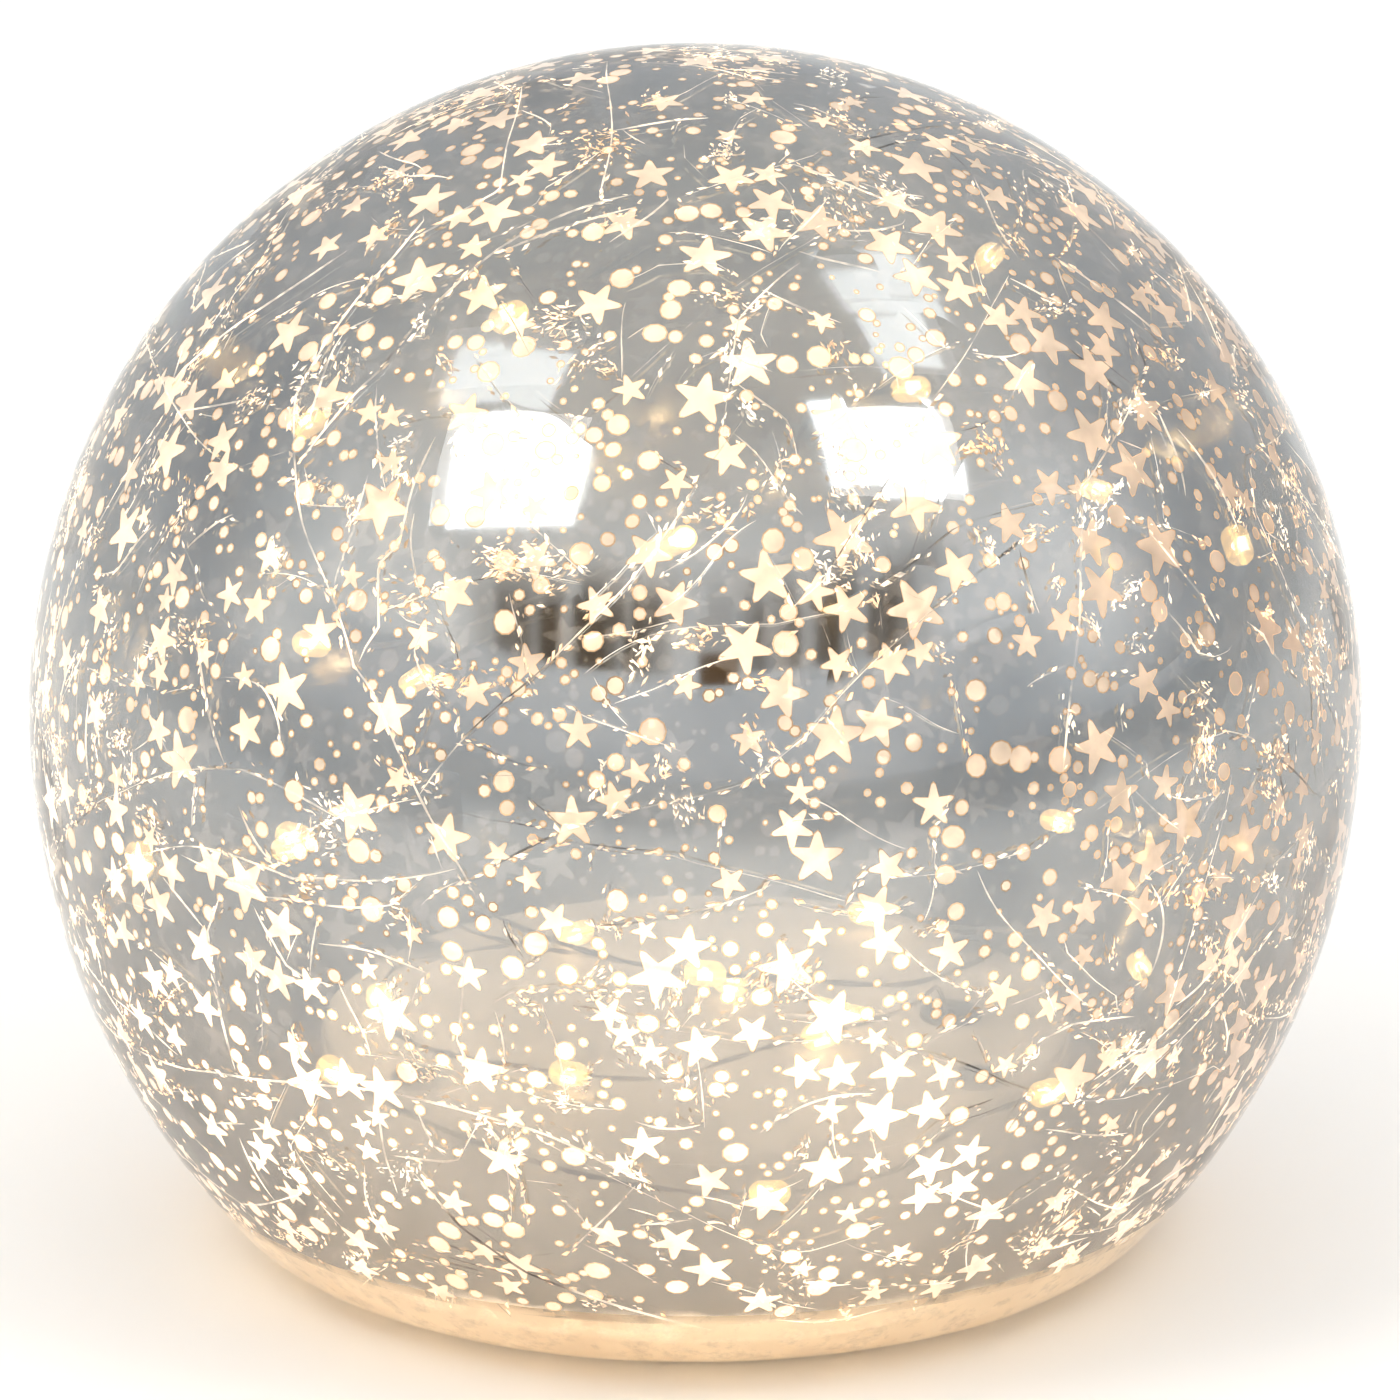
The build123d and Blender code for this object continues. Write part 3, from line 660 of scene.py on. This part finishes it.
def make_glass_ball():
    points, faces = revolved(ball_profile()[1:], BALL_AROUND)
    # A blown surface is never quite true: long shallow waves on the outside only.
    outer_rings = UPPER_STEPS + LOWER_STEPS + HEEL_STEPS // 2
    for index, point in enumerate(points[: outer_rings * BALL_AROUND]):
        wave = noise.noise(point * 38) + 0.35 * noise.noise(point * 110)
        points[index] = point + shell_normal(point) * wave * WAVE_HEIGHT
    top_outer = len(points)
    top_inner = top_outer + 1
    last = top_outer - BALL_AROUND
    points.append(BALL_CENTRE + UP * BALL_RADIUS)
    points.append(BALL_CENTRE + UP * (BALL_RADIUS - WALL))
    for turn in range(BALL_AROUND):
        after = (turn + 1) % BALL_AROUND
        faces.append((top_outer, turn, after))
        faces.append((top_inner, last + after, last + turn))
    ball = mesh_object("glass_ball", points, faces, clear_glass())
    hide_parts("glass_globe")
    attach(ball, BODY)


# ---- star and dot pattern
STAR_COUNT = 740
STAR_SIZES = (1.5, 1.9, 2.2, 2.5, 2.7, 3.1)
STAR_SPACING = 0.74
ARM_TIP = ((-0.12, 0.90), (0.0, 1.0), (0.12, 0.90))
DOT_COUNT = 4000
DOT_SIZES = (0.22, 0.28, 0.35, 0.45, 0.55, 0.65, 0.8, 1.2)
DOT_SPACING = 0.90
FEATHER = 0.17 * MM
PATTERN_SCALE = BALL_RADIUS - FILM_DEPTH
FILM_LOW = -math.radians(43.3)
LOW_MARGIN = 0.02
CAP_MARGIN = 0.3 * MM
CAP_ANGLE = math.radians(78)
SECTORS = 12
SECTOR_WIDTH = math.tau / SECTORS
GRID_STEP = 2.6 * MM / PATTERN_SCALE
MARK_REACH = 0.06
CELLS_AROUND = tuple(itertools.product((-1, 0, 1), repeat=3))


def neighbours(cells, key):
    """Everything kept in a cell of space and in the 26 round it."""
    x, y, z = key
    for dx, dy, dz in CELLS_AROUND:
        yield from cells.get((x + dx, y + dy, z + dz), ())


def star_outline(size, turn):
    """Five fat arms with rounded tips."""
    outline = []
    inner = size * random.uniform(0.41, 0.48)
    for arm in range(5):
        middle = turn + math.tau * arm / 5
        for offset, reach in ARM_TIP:
            angle = middle + offset
            outline.append((size * reach * math.cos(angle), size * reach * math.sin(angle)))
        valley = middle + math.tau / 10
        outline.append((inner * math.cos(valley), inner * math.sin(valley)))
    return outline


def dot_outline(size):
    sides = 10 if size > 0.7 * MM else 7
    squash = random.uniform(0.88, 1.0)
    turn = random.uniform(0, math.pi)
    outline = []
    for corner in range(sides):
        angle = math.tau * corner / sides
        x = size * math.cos(angle)
        y = size * squash * math.sin(angle)
        outline.append((x * math.cos(turn) - y * math.sin(turn), x * math.sin(turn) + y * math.cos(turn)))
    return outline


def random_direction():
    height = random.uniform(math.sin(FILM_LOW + LOW_MARGIN), 1)
    angle = random.uniform(-math.pi, math.pi)
    flat = math.sqrt(1 - height * height)
    return Vector((flat * math.cos(angle), flat * math.sin(angle), height))


def crosses_cap(direction, size):
    return abs(math.asin(direction.z) - CAP_ANGLE) < (size + CAP_MARGIN) / PATTERN_SCALE


def scatter_marks():
    """Places, sizes and outlines of the stars and dots, few of them touching."""
    marks = []
    cells = {}

    def crowded(direction, size, share):
        key = tuple(math.floor(value * 10) for value in direction)
        for other, other_size in neighbours(cells, key):
            if (other - direction).length * PATTERN_SCALE < (size + other_size) * share:
                return True
        cells.setdefault(key, []).append((direction, size))
        return False

    while len(marks) < STAR_COUNT:
        direction = random_direction()
        size = random.choice(STAR_SIZES) * random.uniform(0.92, 1.08) * MM
        if not (crosses_cap(direction, size) or crowded(direction, size, STAR_SPACING)):
            marks.append((direction, size, star_outline(size, random.uniform(0, math.tau))))
    while len(marks) < STAR_COUNT + DOT_COUNT:
        direction = random_direction()
        size = random.choice(DOT_SIZES) * random.uniform(0.9, 1.15) * MM
        if not (crosses_cap(direction, size) or crowded(direction, size, DOT_SPACING)):
            marks.append((direction, size, dot_outline(size)))
    return marks


def mark_directions(direction, outline, grow):
    """The outline, grown about its own middle, laid on the unit sphere."""
    east = UP.cross(direction).normalized()
    north = direction.cross(east)
    reach = grow / PATTERN_SCALE
    return [(direction + (east * x + north * y) * reach).normalized() for x, y in outline]


def steps_between(low, high, step):
    count = max(1, round((high - low) / step))
    return [low + (high - low) * index / count for index in range(count + 1)]


def cut(boundary, grid, outlines):
    """Triangulate the patch: returns points, and solid, feathered and cleared triangles.

    Each mark gives two outlines in turn: its own, and the feathered edge's round it.
    """
    points = [Vector(point) for point in boundary]
    loops = [list(range(len(points)))]
    for outline in outlines:
        loops.append(list(range(len(points), len(points) + len(outline))))
        points += [Vector(point) for point in outline]
    points += [Vector(point) for point in grid]
    made = delaunay_2d_cdt(points, [], loops, 1, 1e-6)
    solid, feathered, cleared = [], [], []
    for face, sources in zip(made[2], made[5]):
        if 0 not in sources:
            continue
        if any(source % 2 for source in sources):
            cleared.append(face)
        elif len(sources) > 1:
            feathered.append(face)
        else:
            solid.append(face)
    return made[0], (solid, feathered, cleared)


class Sheet:
    """Collects triangles from the patches, joining the points that they share."""

    def __init__(self):
        self.points = []
        self.faces = []
        self.index = {}

    def add(self, corners):
        face = []
        for point in corners:
            key = (round(point.x * 2e5), round(point.y * 2e5), round(point.z * 2e5))
            if key not in self.index:
                self.index[key] = len(self.points)
                self.points.append(point)
            face.append(self.index[key])
        if len(set(face)) == 3:
            self.faces.append(face)


def nearest_turn(angle, middle):
    """The same angle, counted so that it lies within half a turn of the middle."""
    return middle + (angle - middle + math.pi) % math.tau - math.pi


def sector_patch(west, across, up, marks):
    """Border, inner points and mark outlines of one sector, as azimuth and elevation."""
    boundary = [(west + a, FILM_LOW) for a in across[:-1]]
    boundary += [(west + SECTOR_WIDTH, e) for e in up[:-1]]
    boundary += [(west + a, CAP_ANGLE) for a in reversed(across[1:])]
    boundary += [(west, e) for e in reversed(up[1:])]
    grid = []
    for e in up[1:-1]:
        thin = max(1, round(1 / math.cos(e)))
        grid += [(west + a, e) for a in across[1:-1:thin]]
    middle = west + SECTOR_WIDTH / 2
    outlines = []
    for direction, ring in marks:
        azimuth, elevation = angles_of(direction)
        away = abs(nearest_turn(azimuth, middle) - middle)
        if elevation <= CAP_ANGLE and away <= SECTOR_WIDTH / 2 + MARK_REACH / math.cos(elevation):
            corners = [angles_of(corner) for corner in ring]
            outlines.append([(nearest_turn(a, middle), e) for a, e in corners])
    return boundary, grid, outlines


def cap_patch(across, marks):
    """The same for the round cap at the top, laid flat, with the border points that the sectors have."""
    top = math.pi / 2 - CAP_ANGLE
    boundary = []
    for sector in range(SECTORS):
        for a in across[:-1]:
            angle = -math.pi + sector * SECTOR_WIDTH + a
            boundary.append((top * math.cos(angle), top * math.sin(angle)))
    reach = int(top / GRID_STEP)
    grid = []
    for column, row in itertools.product(range(-reach, reach + 1), repeat=2):
        if math.hypot(column, row) * GRID_STEP < top - GRID_STEP * 0.5:
            grid.append((column * GRID_STEP, row * GRID_STEP))
    outlines = []
    for direction, ring in marks:
        if math.asin(direction.z) > CAP_ANGLE:
            corners = [angles_of(corner) for corner in ring]
            outlines.append([
                ((math.pi / 2 - e) * math.cos(a), (math.pi / 2 - e) * math.sin(a)) for a, e in corners
            ])
    return boundary, grid, outlines


def on_sector(point):
    return shell_point(point.x, point.y, FILM_DEPTH)


def on_cap(point):
    return shell_point(math.atan2(point.y, point.x), math.pi / 2 - point.length, FILM_DEPTH)


def make_film():
    """The silver film with the marks cut out of it, their feathered edges and their frosted windows."""
    marks = []
    for direction, size, outline in scatter_marks():
        for grow in (1.0, 1.0 + FEATHER / size):
            marks.append((direction, mark_directions(direction, outline, grow)))
    across = steps_between(0, SECTOR_WIDTH, GRID_STEP)
    up = steps_between(FILM_LOW, CAP_ANGLE, GRID_STEP)
    film, edges, windows = Sheet(), Sheet(), Sheet()
    patches = [
        (sector_patch(-math.pi + sector * SECTOR_WIDTH, across, up, marks), on_sector)
        for sector in range(SECTORS)
    ]
    patches.append((cap_patch(across, marks), on_cap))
    for patch, place in patches:
        points, groups = cut(*patch)
        placed = [place(point) for point in points]
        for faces, sheet in zip(groups, (film, edges, windows)):
            for face in faces:
                sheet.add([placed[corner] for corner in face])

    for name, sheet, material in (
        ("silver_film", film, silver_film()),
        ("feathered_edges", edges, feathered_edge()),
        ("star_windows", windows, frosted_window()),
    ):
        piece = mesh_object(name, sheet.points, sheet.faces, material)
        piece.data.normals_split_custom_set_from_vertices([shell_normal(point) for point in sheet.points])
        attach(piece, BODY)
    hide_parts("mirror_coating")


BAND_TOP = -math.radians(37)
BAND_AROUND = 180


def make_bare_band():
    """The bare lower stretch of the wall, from under the film's edge to the rim."""
    lower = LOWER_RADIUS - FILM_DEPTH
    heel = HEEL_RADIUS - FILM_DEPTH
    profile = arc_points(LOWER_CENTRE_R, BALL_CENTRE.z, lower, BAND_TOP, -LOWER_ANGLE, 6)
    profile += arc_points(HEEL_CENTRE_R, HEEL_CENTRE_Z, heel, -LOWER_ANGLE, -math.pi / 2, 14)
    points, faces = revolved(profile, BAND_AROUND)
    band = mesh_object("bare_band", points, faces, bare_band_haze())
    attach(band, BODY)


# ---- cracks in the glass wall
CRACK_STEP = 0.9 * MM
CRACK_SPACING = 0.9 * MM
CRACK_LEAN = 0.2 * MM
CURL_KEPT = 0.80
KINK_CHANCE = 0.04
KINK_ANGLE = 0.7
SPARSE_BELOW = -0.15
CLUSTER_COUNT = 520


def random_heading(place):
    """A random direction along the unit sphere at this place."""
    east = UP.cross(place).normalized()
    return turned(east, random.uniform(0, math.tau), place)


def grow_cracks(count, longest, taken, bend):
    """Wandering lines on the unit sphere, each stopping where it meets an older one."""
    step = CRACK_STEP / BALL_RADIUS
    near = CRACK_SPACING / BALL_RADIUS
    lowest = math.sin(FILM_LOW)
    paths = []

    def key_of(direction):
        return tuple(math.floor(value / near) for value in direction)

    def blocked(direction, own):
        return any(
            owner != own and (other - direction).length < near
            for other, owner in neighbours(taken, key_of(direction))
        )

    for number in range(count):
        own = (count, number)
        place = random_direction()
        if blocked(place, own):
            continue
        heading = random_heading(place)
        path = [place]
        curl = random.uniform(-bend, bend)
        for _ in range(int(longest / CRACK_STEP)):
            curl = CURL_KEPT * curl + random.uniform(-bend, bend) * 0.5
            if random.random() < KINK_CHANCE:
                heading = turned(heading, random.uniform(-KINK_ANGLE, KINK_ANGLE), place)
            heading = turned(heading, curl, place)
            place = (place + heading * step).normalized()
            heading = square_to(heading, place)
            path.append(place)
            if place.z < lowest or blocked(place, own):
                break
        if len(path) > 3:
            for point in path:
                taken.setdefault(key_of(point), []).append((point, own))
            paths.append(path)
    return paths


def crack_ribbons(paths, width, points, faces):
    """Thin slivers that lean in the wall and so show as hair lines."""
    for path in paths:
        start = len(points)
        last = len(path) - 1
        phase = Vector((random.uniform(0, 50), 0, 0))
        depth = random.uniform(0.5, 1.6) * MM
        for index, direction in enumerate(path):
            after = path[min(index + 1, last)]
            before = path[max(index - 1, 0)]
            across = direction.cross((after - before).normalized())
            ends = min(1.0, min(index, last - index) / 3 + 0.15)
            swell = 0.55 + 0.9 * abs(noise.noise(direction * 40 + phase))
            half = across * width * 0.5 * ends * swell / BALL_RADIUS
            for offset, drop in ((-half, -CRACK_LEAN), (half, CRACK_LEAN)):
                points.append(in_wall(direction + offset, depth + drop * ends))
        for index in range(last):
            a = start + 2 * index
            faces.append((a, a + 2, a + 3, a + 1))


def add_spark(direction, along, length, width, points, faces):
    """One small uneven facet in the wall."""
    across = direction.cross(along)
    depth = random.uniform(0.5, 1.9) * MM
    start = len(points)
    for u, v in ((-0.5, 0.1), (-0.1, -0.5), (0.5, -0.1), (0.15, 0.5)):
        u += random.uniform(-0.15, 0.15)
        v += random.uniform(-0.15, 0.15)
        offset = (along * (u * length) + across * (v * width)) / BALL_RADIUS
        points.append(in_wall(direction + offset, depth + random.uniform(-0.15, 0.15) * MM))
    faces.append((start, start + 1, start + 2, start + 3))


def sparks_along(paths, gap, length, width, spread, points, faces):
    """Facets strung along the cracks, thick in some stretches and absent in others."""
    for path in paths:
        phase = Vector((random.uniform(0, 50), 0, 0))
        travelled = 0.0
        wanted = 0.0
        for before, place in zip(path, path[1:]):
            travelled += CRACK_STEP
            if travelled < wanted:
                continue
            wanted = travelled + gap * random.uniform(0.4, 1.6)
            if noise.noise(place * 6 + phase) < SPARSE_BELOW:
                continue
            along = turned((place - before).normalized(), random.uniform(-0.5, 0.5), place)
            across = place.cross(along)
            shift = (across * random.gauss(0, spread) + along * random.uniform(-0.4, 0.4) * MM) / BALL_RADIUS
            size = random.uniform(0.5, 1.5)
            add_spark((place + shift).normalized(), along, length * size, width * size, points, faces)


def spark_clusters(points, faces):
    """Crushed spots, where many small facets lie together."""
    for _ in range(CLUSTER_COUNT):
        centre = random_direction()
        heading = random_heading(centre)
        side = centre.cross(heading)
        reach = random.uniform(1.5, 5.0) * MM
        for _ in range(int(reach / MM * random.uniform(5, 11))):
            u = random.gauss(0, 0.5) * reach
            v = random.gauss(0, 0.25) * reach
            place = (centre + (heading * u + side * v) / BALL_RADIUS).normalized()
            if place.z < math.sin(FILM_LOW):
                continue
            along = square_to(turned(heading, random.gauss(0, 0.6), place), place)
            length = random.uniform(0.35, 1.3) * MM
            width = random.uniform(0.16, 0.4) * MM
            add_spark(place, along, length, width, points, faces)


def make_cracks():
    taken = {}
    long_lines = grow_cracks(260, 90 * MM, taken, 0.035)
    short_lines = grow_cracks(1200, 14 * MM, taken, 0.10)
    points, faces = [], []
    crack_ribbons(long_lines, 0.17 * MM, points, faces)
    crack_ribbons(short_lines, 0.14 * MM, points, faces)
    cracks = mesh_object("wall_cracks", points, faces, crack_face())
    points, faces = [], []
    sparks_along(long_lines, 0.8 * MM, 1.0 * MM, 0.36 * MM, 0.35 * MM, points, faces)
    sparks_along(short_lines, 0.95 * MM, 0.85 * MM, 0.32 * MM, 0.30 * MM, points, faces)
    spark_clusters(points, faces)
    sparks = mesh_object("crack_sparks", points, faces, crack_spark())
    for piece in (cracks, sparks):
        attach(piece, BODY)


# ---- LED string
COVER_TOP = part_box("top_cover")[1][2]
STRING_EXIT = Vector((29.0 * MM, 0, 9.2 * MM))
STRING_EXIT_RISE = 6.5 * MM
STRING_FLAT_ZONE = 9.0 * MM
BEAD_RUN = 12.0 * MM
STRAND_RADIUS = 0.17 * MM
STRAND_SIDES = 8
STRAND_TWIST = 14 * MM
# Places that the string passes, in millimetres from the ball's centre, and whether a chip is lit there.
STRING_PLACES = [
    (14, -12, -34.8, True), (-14, -25, -34.4, True), (-36, -2, -33.6, True), (-14, 22, -34.6, True),
    (20, 27, -34.2, True), (51, 6, -33, True), (38, -48, -28, True), (8, -55, -37, True),
    (-39, -47, -26, True), (-61, -26, -9, True), (-43, -50, 2, True), (1, -66, -8, True),
    (36, -57, -6, False), (59, -22, 26, True), (23, -40, 49, True), (-2, -56, 37, True),
    (-41, -48, 23, True), (-60, -10, 30, False), (-20, -33, 55, True), (20, 2, 64, False),
    (34, 40, 42, True), (0, 62, 28, False), (-45, 46, 20, True), (-66, 10, -8, False),
    (-48, 40, -30, True), (-4, 60, -31, False), (43, 44, -28, True), (66, 6, -12, False),
    (47, 46, 12, True), (6, 66, -4, False), (-33, 54, -14, True), (-34, 28, -24, False),
    (4, 4, -34.4, True),
]


def string_route():
    """Up from the board through the cover, then a straight run through each place in turn."""
    exit_top = Vector((STRING_EXIT.x, STRING_EXIT.y, COVER_TOP + STRING_EXIT_RISE))
    places = [BALL_CENTRE + Vector(place) * MM for *place, _ in STRING_PLACES]
    route = [STRING_EXIT, exit_top]
    for index, place in enumerate(places):
        before = places[index - 1] if index else exit_top
        after = places[index + 1] if index + 1 < len(places) else place + (place - before)
        along = square_to(after - before, (place - BALL_CENTRE).normalized())
        if place.z < COVER_TOP + STRING_FLAT_ZONE:
            along = Vector((along.x, along.y, 0)).normalized()
        route += [place - along * BEAD_RUN, place + along * BEAD_RUN]
    lit = [place for place, entry in zip(places, STRING_PLACES) if entry[-1]]
    return route, lit


def smooth_line(name, route, resolution):
    """Points along a NURBS spline that has the route's points as its control points."""
    data = bpy.data.curves.new(name, "CURVE")
    data.dimensions = "3D"
    data.resolution_u = resolution
    spline = data.splines.new("NURBS")
    spline.points.add(len(route) - 1)
    for control, place in zip(spline.points, route):
        control.co = (*place, 1)
    spline.order_u = 3
    spline.use_endpoint_u = True
    holder = bpy.data.objects.new(name, data)
    scene.collection.objects.link(holder)
    mesh = bpy.data.meshes.new_from_object(holder)
    line = [vertex.co.copy() for vertex in mesh.vertices]
    bpy.data.objects.remove(holder)
    bpy.data.curves.remove(data)
    bpy.data.meshes.remove(mesh)
    return line


def frames_along(line):
    """Each point of a line, with its tangent and a normal that turns as little as it can."""
    normal = (line[1] - line[0]).normalized().orthogonal().normalized()
    last = len(line) - 1
    for index, place in enumerate(line):
        tangent = (line[min(index + 1, last)] - line[max(index - 1, 0)]).normalized()
        normal = square_to(normal, tangent)
        yield place, tangent, normal


def add_tube(line, radius, sides, points, faces):
    """Round tube along a line, closed at both ends."""
    start = len(points)
    for place, tangent, normal in frames_along(line):
        side = tangent.cross(normal)
        for corner in range(sides):
            angle = math.tau * corner / sides
            points.append(place + (normal * math.cos(angle) + side * math.sin(angle)) * radius)
    for index in range(len(line) - 1):
        a = start + index * sides
        for corner in range(sides):
            after = (corner + 1) % sides
            faces.append((a + corner, a + after, a + sides + after, a + sides + corner))
    end = start + (len(line) - 1) * sides
    faces.append(tuple(reversed(range(start, start + sides))))
    faces.append(tuple(range(end, end + sides)))


def make_string(route):
    """Two lacquered strands that turn slowly about each other."""
    line = smooth_line("string_line", route, 9)
    frames = []
    travelled = 0.0
    before = line[0]
    for place, tangent, normal in frames_along(line):
        travelled += (place - before).length
        before = place
        frames.append((place, turned(normal, math.tau * travelled / STRAND_TWIST, tangent)))
    points, faces = [], []
    for side in (-1, 1):
        strand = [place + outward * side * STRAND_RADIUS * 1.03 for place, outward in frames]
        add_tube(strand, STRAND_RADIUS, STRAND_SIDES, points, faces)
    lacquered = moulded(
        "string_wire", (0.80, 0.78, 0.74), (0.90, 0.88, 0.84), 0.25, 1200, 0.05, metallic=1.0
    )
    wire = mesh_object("string_wire", points, faces, lacquered)
    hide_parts("led_string_wire")
    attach(wire, BODY)


LED_POWER = 0.20
LED_COLOUR = (1.0, 0.74, 0.48)
LED_SIZE = 0.6 * MM


def led_share(place):
    """More light from the chips low at the front, less from those on the right."""
    rightward = (place.x - 5 * MM) / (35 * MM)
    share = 1.0 - 0.65 * min(max(rightward, 0.0), 1.0)
    if place.y < 5 * MM and place.z < 75 * MM:
        share *= 1.5
    return share


def led_lights(places):
    for number, place in enumerate(places, start=1):
        name = f"led_light_{number}"
        data = bpy.data.lights.new(name, "POINT")
        data.energy = LED_POWER * led_share(place)
        data.color = LED_COLOUR
        data.shadow_soft_size = LED_SIZE
        light = bpy.data.objects.new(name, data)
        scene.collection.objects.link(light)
        light.location = place
        light.visible_camera = False
        light.visible_glossy = False


# ---- CAD nodes' materials
def dress(material, *names):
    for name in names:
        piece = bpy.data.objects[name]
        piece.data.materials.clear()
        piece.data.materials.append(material)


# Name, two colours, roughness, grain and other settings of moulded(), then the nodes that wear it.
FINISHES = (
    ("white_plastic", (0.86, 0.84, 0.80), (0.90, 0.885, 0.85), 0.42, 900, {},
     "base_housing top_cover battery_door"),
    ("silicone", (0.80, 0.79, 0.76), (0.87, 0.86, 0.83), 0.30, 300, {}, "sealant_bead"),
    ("zinc_screw", (0.58, 0.60, 0.62), (0.70, 0.71, 0.73), 0.32, 700, {"metallic": 1.0},
     "cover_screws board_screws"),
    ("black_rubber", (0.02, 0.02, 0.02), (0.045, 0.045, 0.045), 0.7, 600, {}, "wire_grommet"),
    ("grey_rubber", (0.40, 0.39, 0.37), (0.50, 0.49, 0.47), 0.72, 600, {}, "rubber_feet"),
    ("foam", (0.03, 0.03, 0.03), (0.09, 0.09, 0.09), 0.9, 2500, {"bump": 0.9}, "door_foam_pad"),
    ("cell_jacket", (0.04, 0.07, 0.12), (0.06, 0.10, 0.16), 0.22, 300, {"bump": 0.04, "coat": 0.5},
     "battery_1 battery_2 battery_3"),
    ("nickel", (0.70, 0.69, 0.66), (0.78, 0.77, 0.74), 0.28, 500, {"metallic": 1.0},
     "battery_positive_caps battery_negative_ends positive_plate negative_plate link_plate_front "
     "link_plate_rear switch_pins contact_springs"),
    ("board_green", (0.01, 0.12, 0.05), (0.02, 0.18, 0.08), 0.28, 400, {"bump": 0.05, "coat": 0.4},
     "circuit_board"),
    ("black_plastic", (0.012, 0.012, 0.013), (0.03, 0.03, 0.03), 0.45, 800, {}, "timer_chip switch_body"),
    ("knob_black", (0.015, 0.015, 0.015), (0.035, 0.035, 0.035), 0.30, 900, {}, "switch_knob"),
    ("resistor_beige", (0.50, 0.36, 0.18), (0.62, 0.46, 0.26), 0.32, 600, {}, "resistors"),
    ("can_metal", (0.66, 0.66, 0.67), (0.76, 0.76, 0.77), 0.26, 600, {"metallic": 1.0}, "crystal_can"),
    ("capacitor_sleeve", (0.02, 0.03, 0.14), (0.03, 0.05, 0.20), 0.25, 500, {}, "capacitor"),
    ("red_insulation", (0.45, 0.012, 0.01), (0.58, 0.02, 0.015), 0.35, 700, {}, "battery_lead_red"),
    ("black_insulation", (0.01, 0.01, 0.01), (0.03, 0.03, 0.03), 0.35, 700, {}, "battery_lead_black"),
)


def dress_cad_nodes():
    for *basics, others, wearers in FINISHES:
        dress(moulded(*basics, **others), *wearers.split())
    dress(lit_phosphor(), "led_chips")
    dress(lit_resin(), "led_droplets", "string_end_cap")


# ---- floor
FLOOR_RADIUS = 2.6
FLOOR_RINGS = (0.5, 1.0, 1.5, 2.0, 2.5)
FLOOR_AROUND = 128
SWEEP_RADIUS = 1.2
SWEEP_TURN = 0.8
SWEEP_STEPS = 24


def make_floor():
    """Round floor that curves up into a low backdrop."""
    profile = [(radius, 0.0) for radius in FLOOR_RINGS]
    for step in range(SWEEP_STEPS + 1):
        turn = SWEEP_TURN * step / SWEEP_STEPS
        profile.append((FLOOR_RADIUS + SWEEP_RADIUS * math.sin(turn), SWEEP_RADIUS * (1 - math.cos(turn))))
    points, bands = revolved(profile, FLOOR_AROUND, first=1)
    middle = [(0, 1 + step, 1 + (step + 1) % FLOOR_AROUND) for step in range(FLOOR_AROUND)]
    floor = mesh_object("floor", [Vector((0, 0, 0))] + points, middle + bands, floor_paint())


# ---- build
make_glass_ball()
make_film()
make_bare_band()
make_cracks()
string_points, lit_places = string_route()
make_string(string_points)
led_lights(lit_places)
dress_cad_nodes()
make_floor()
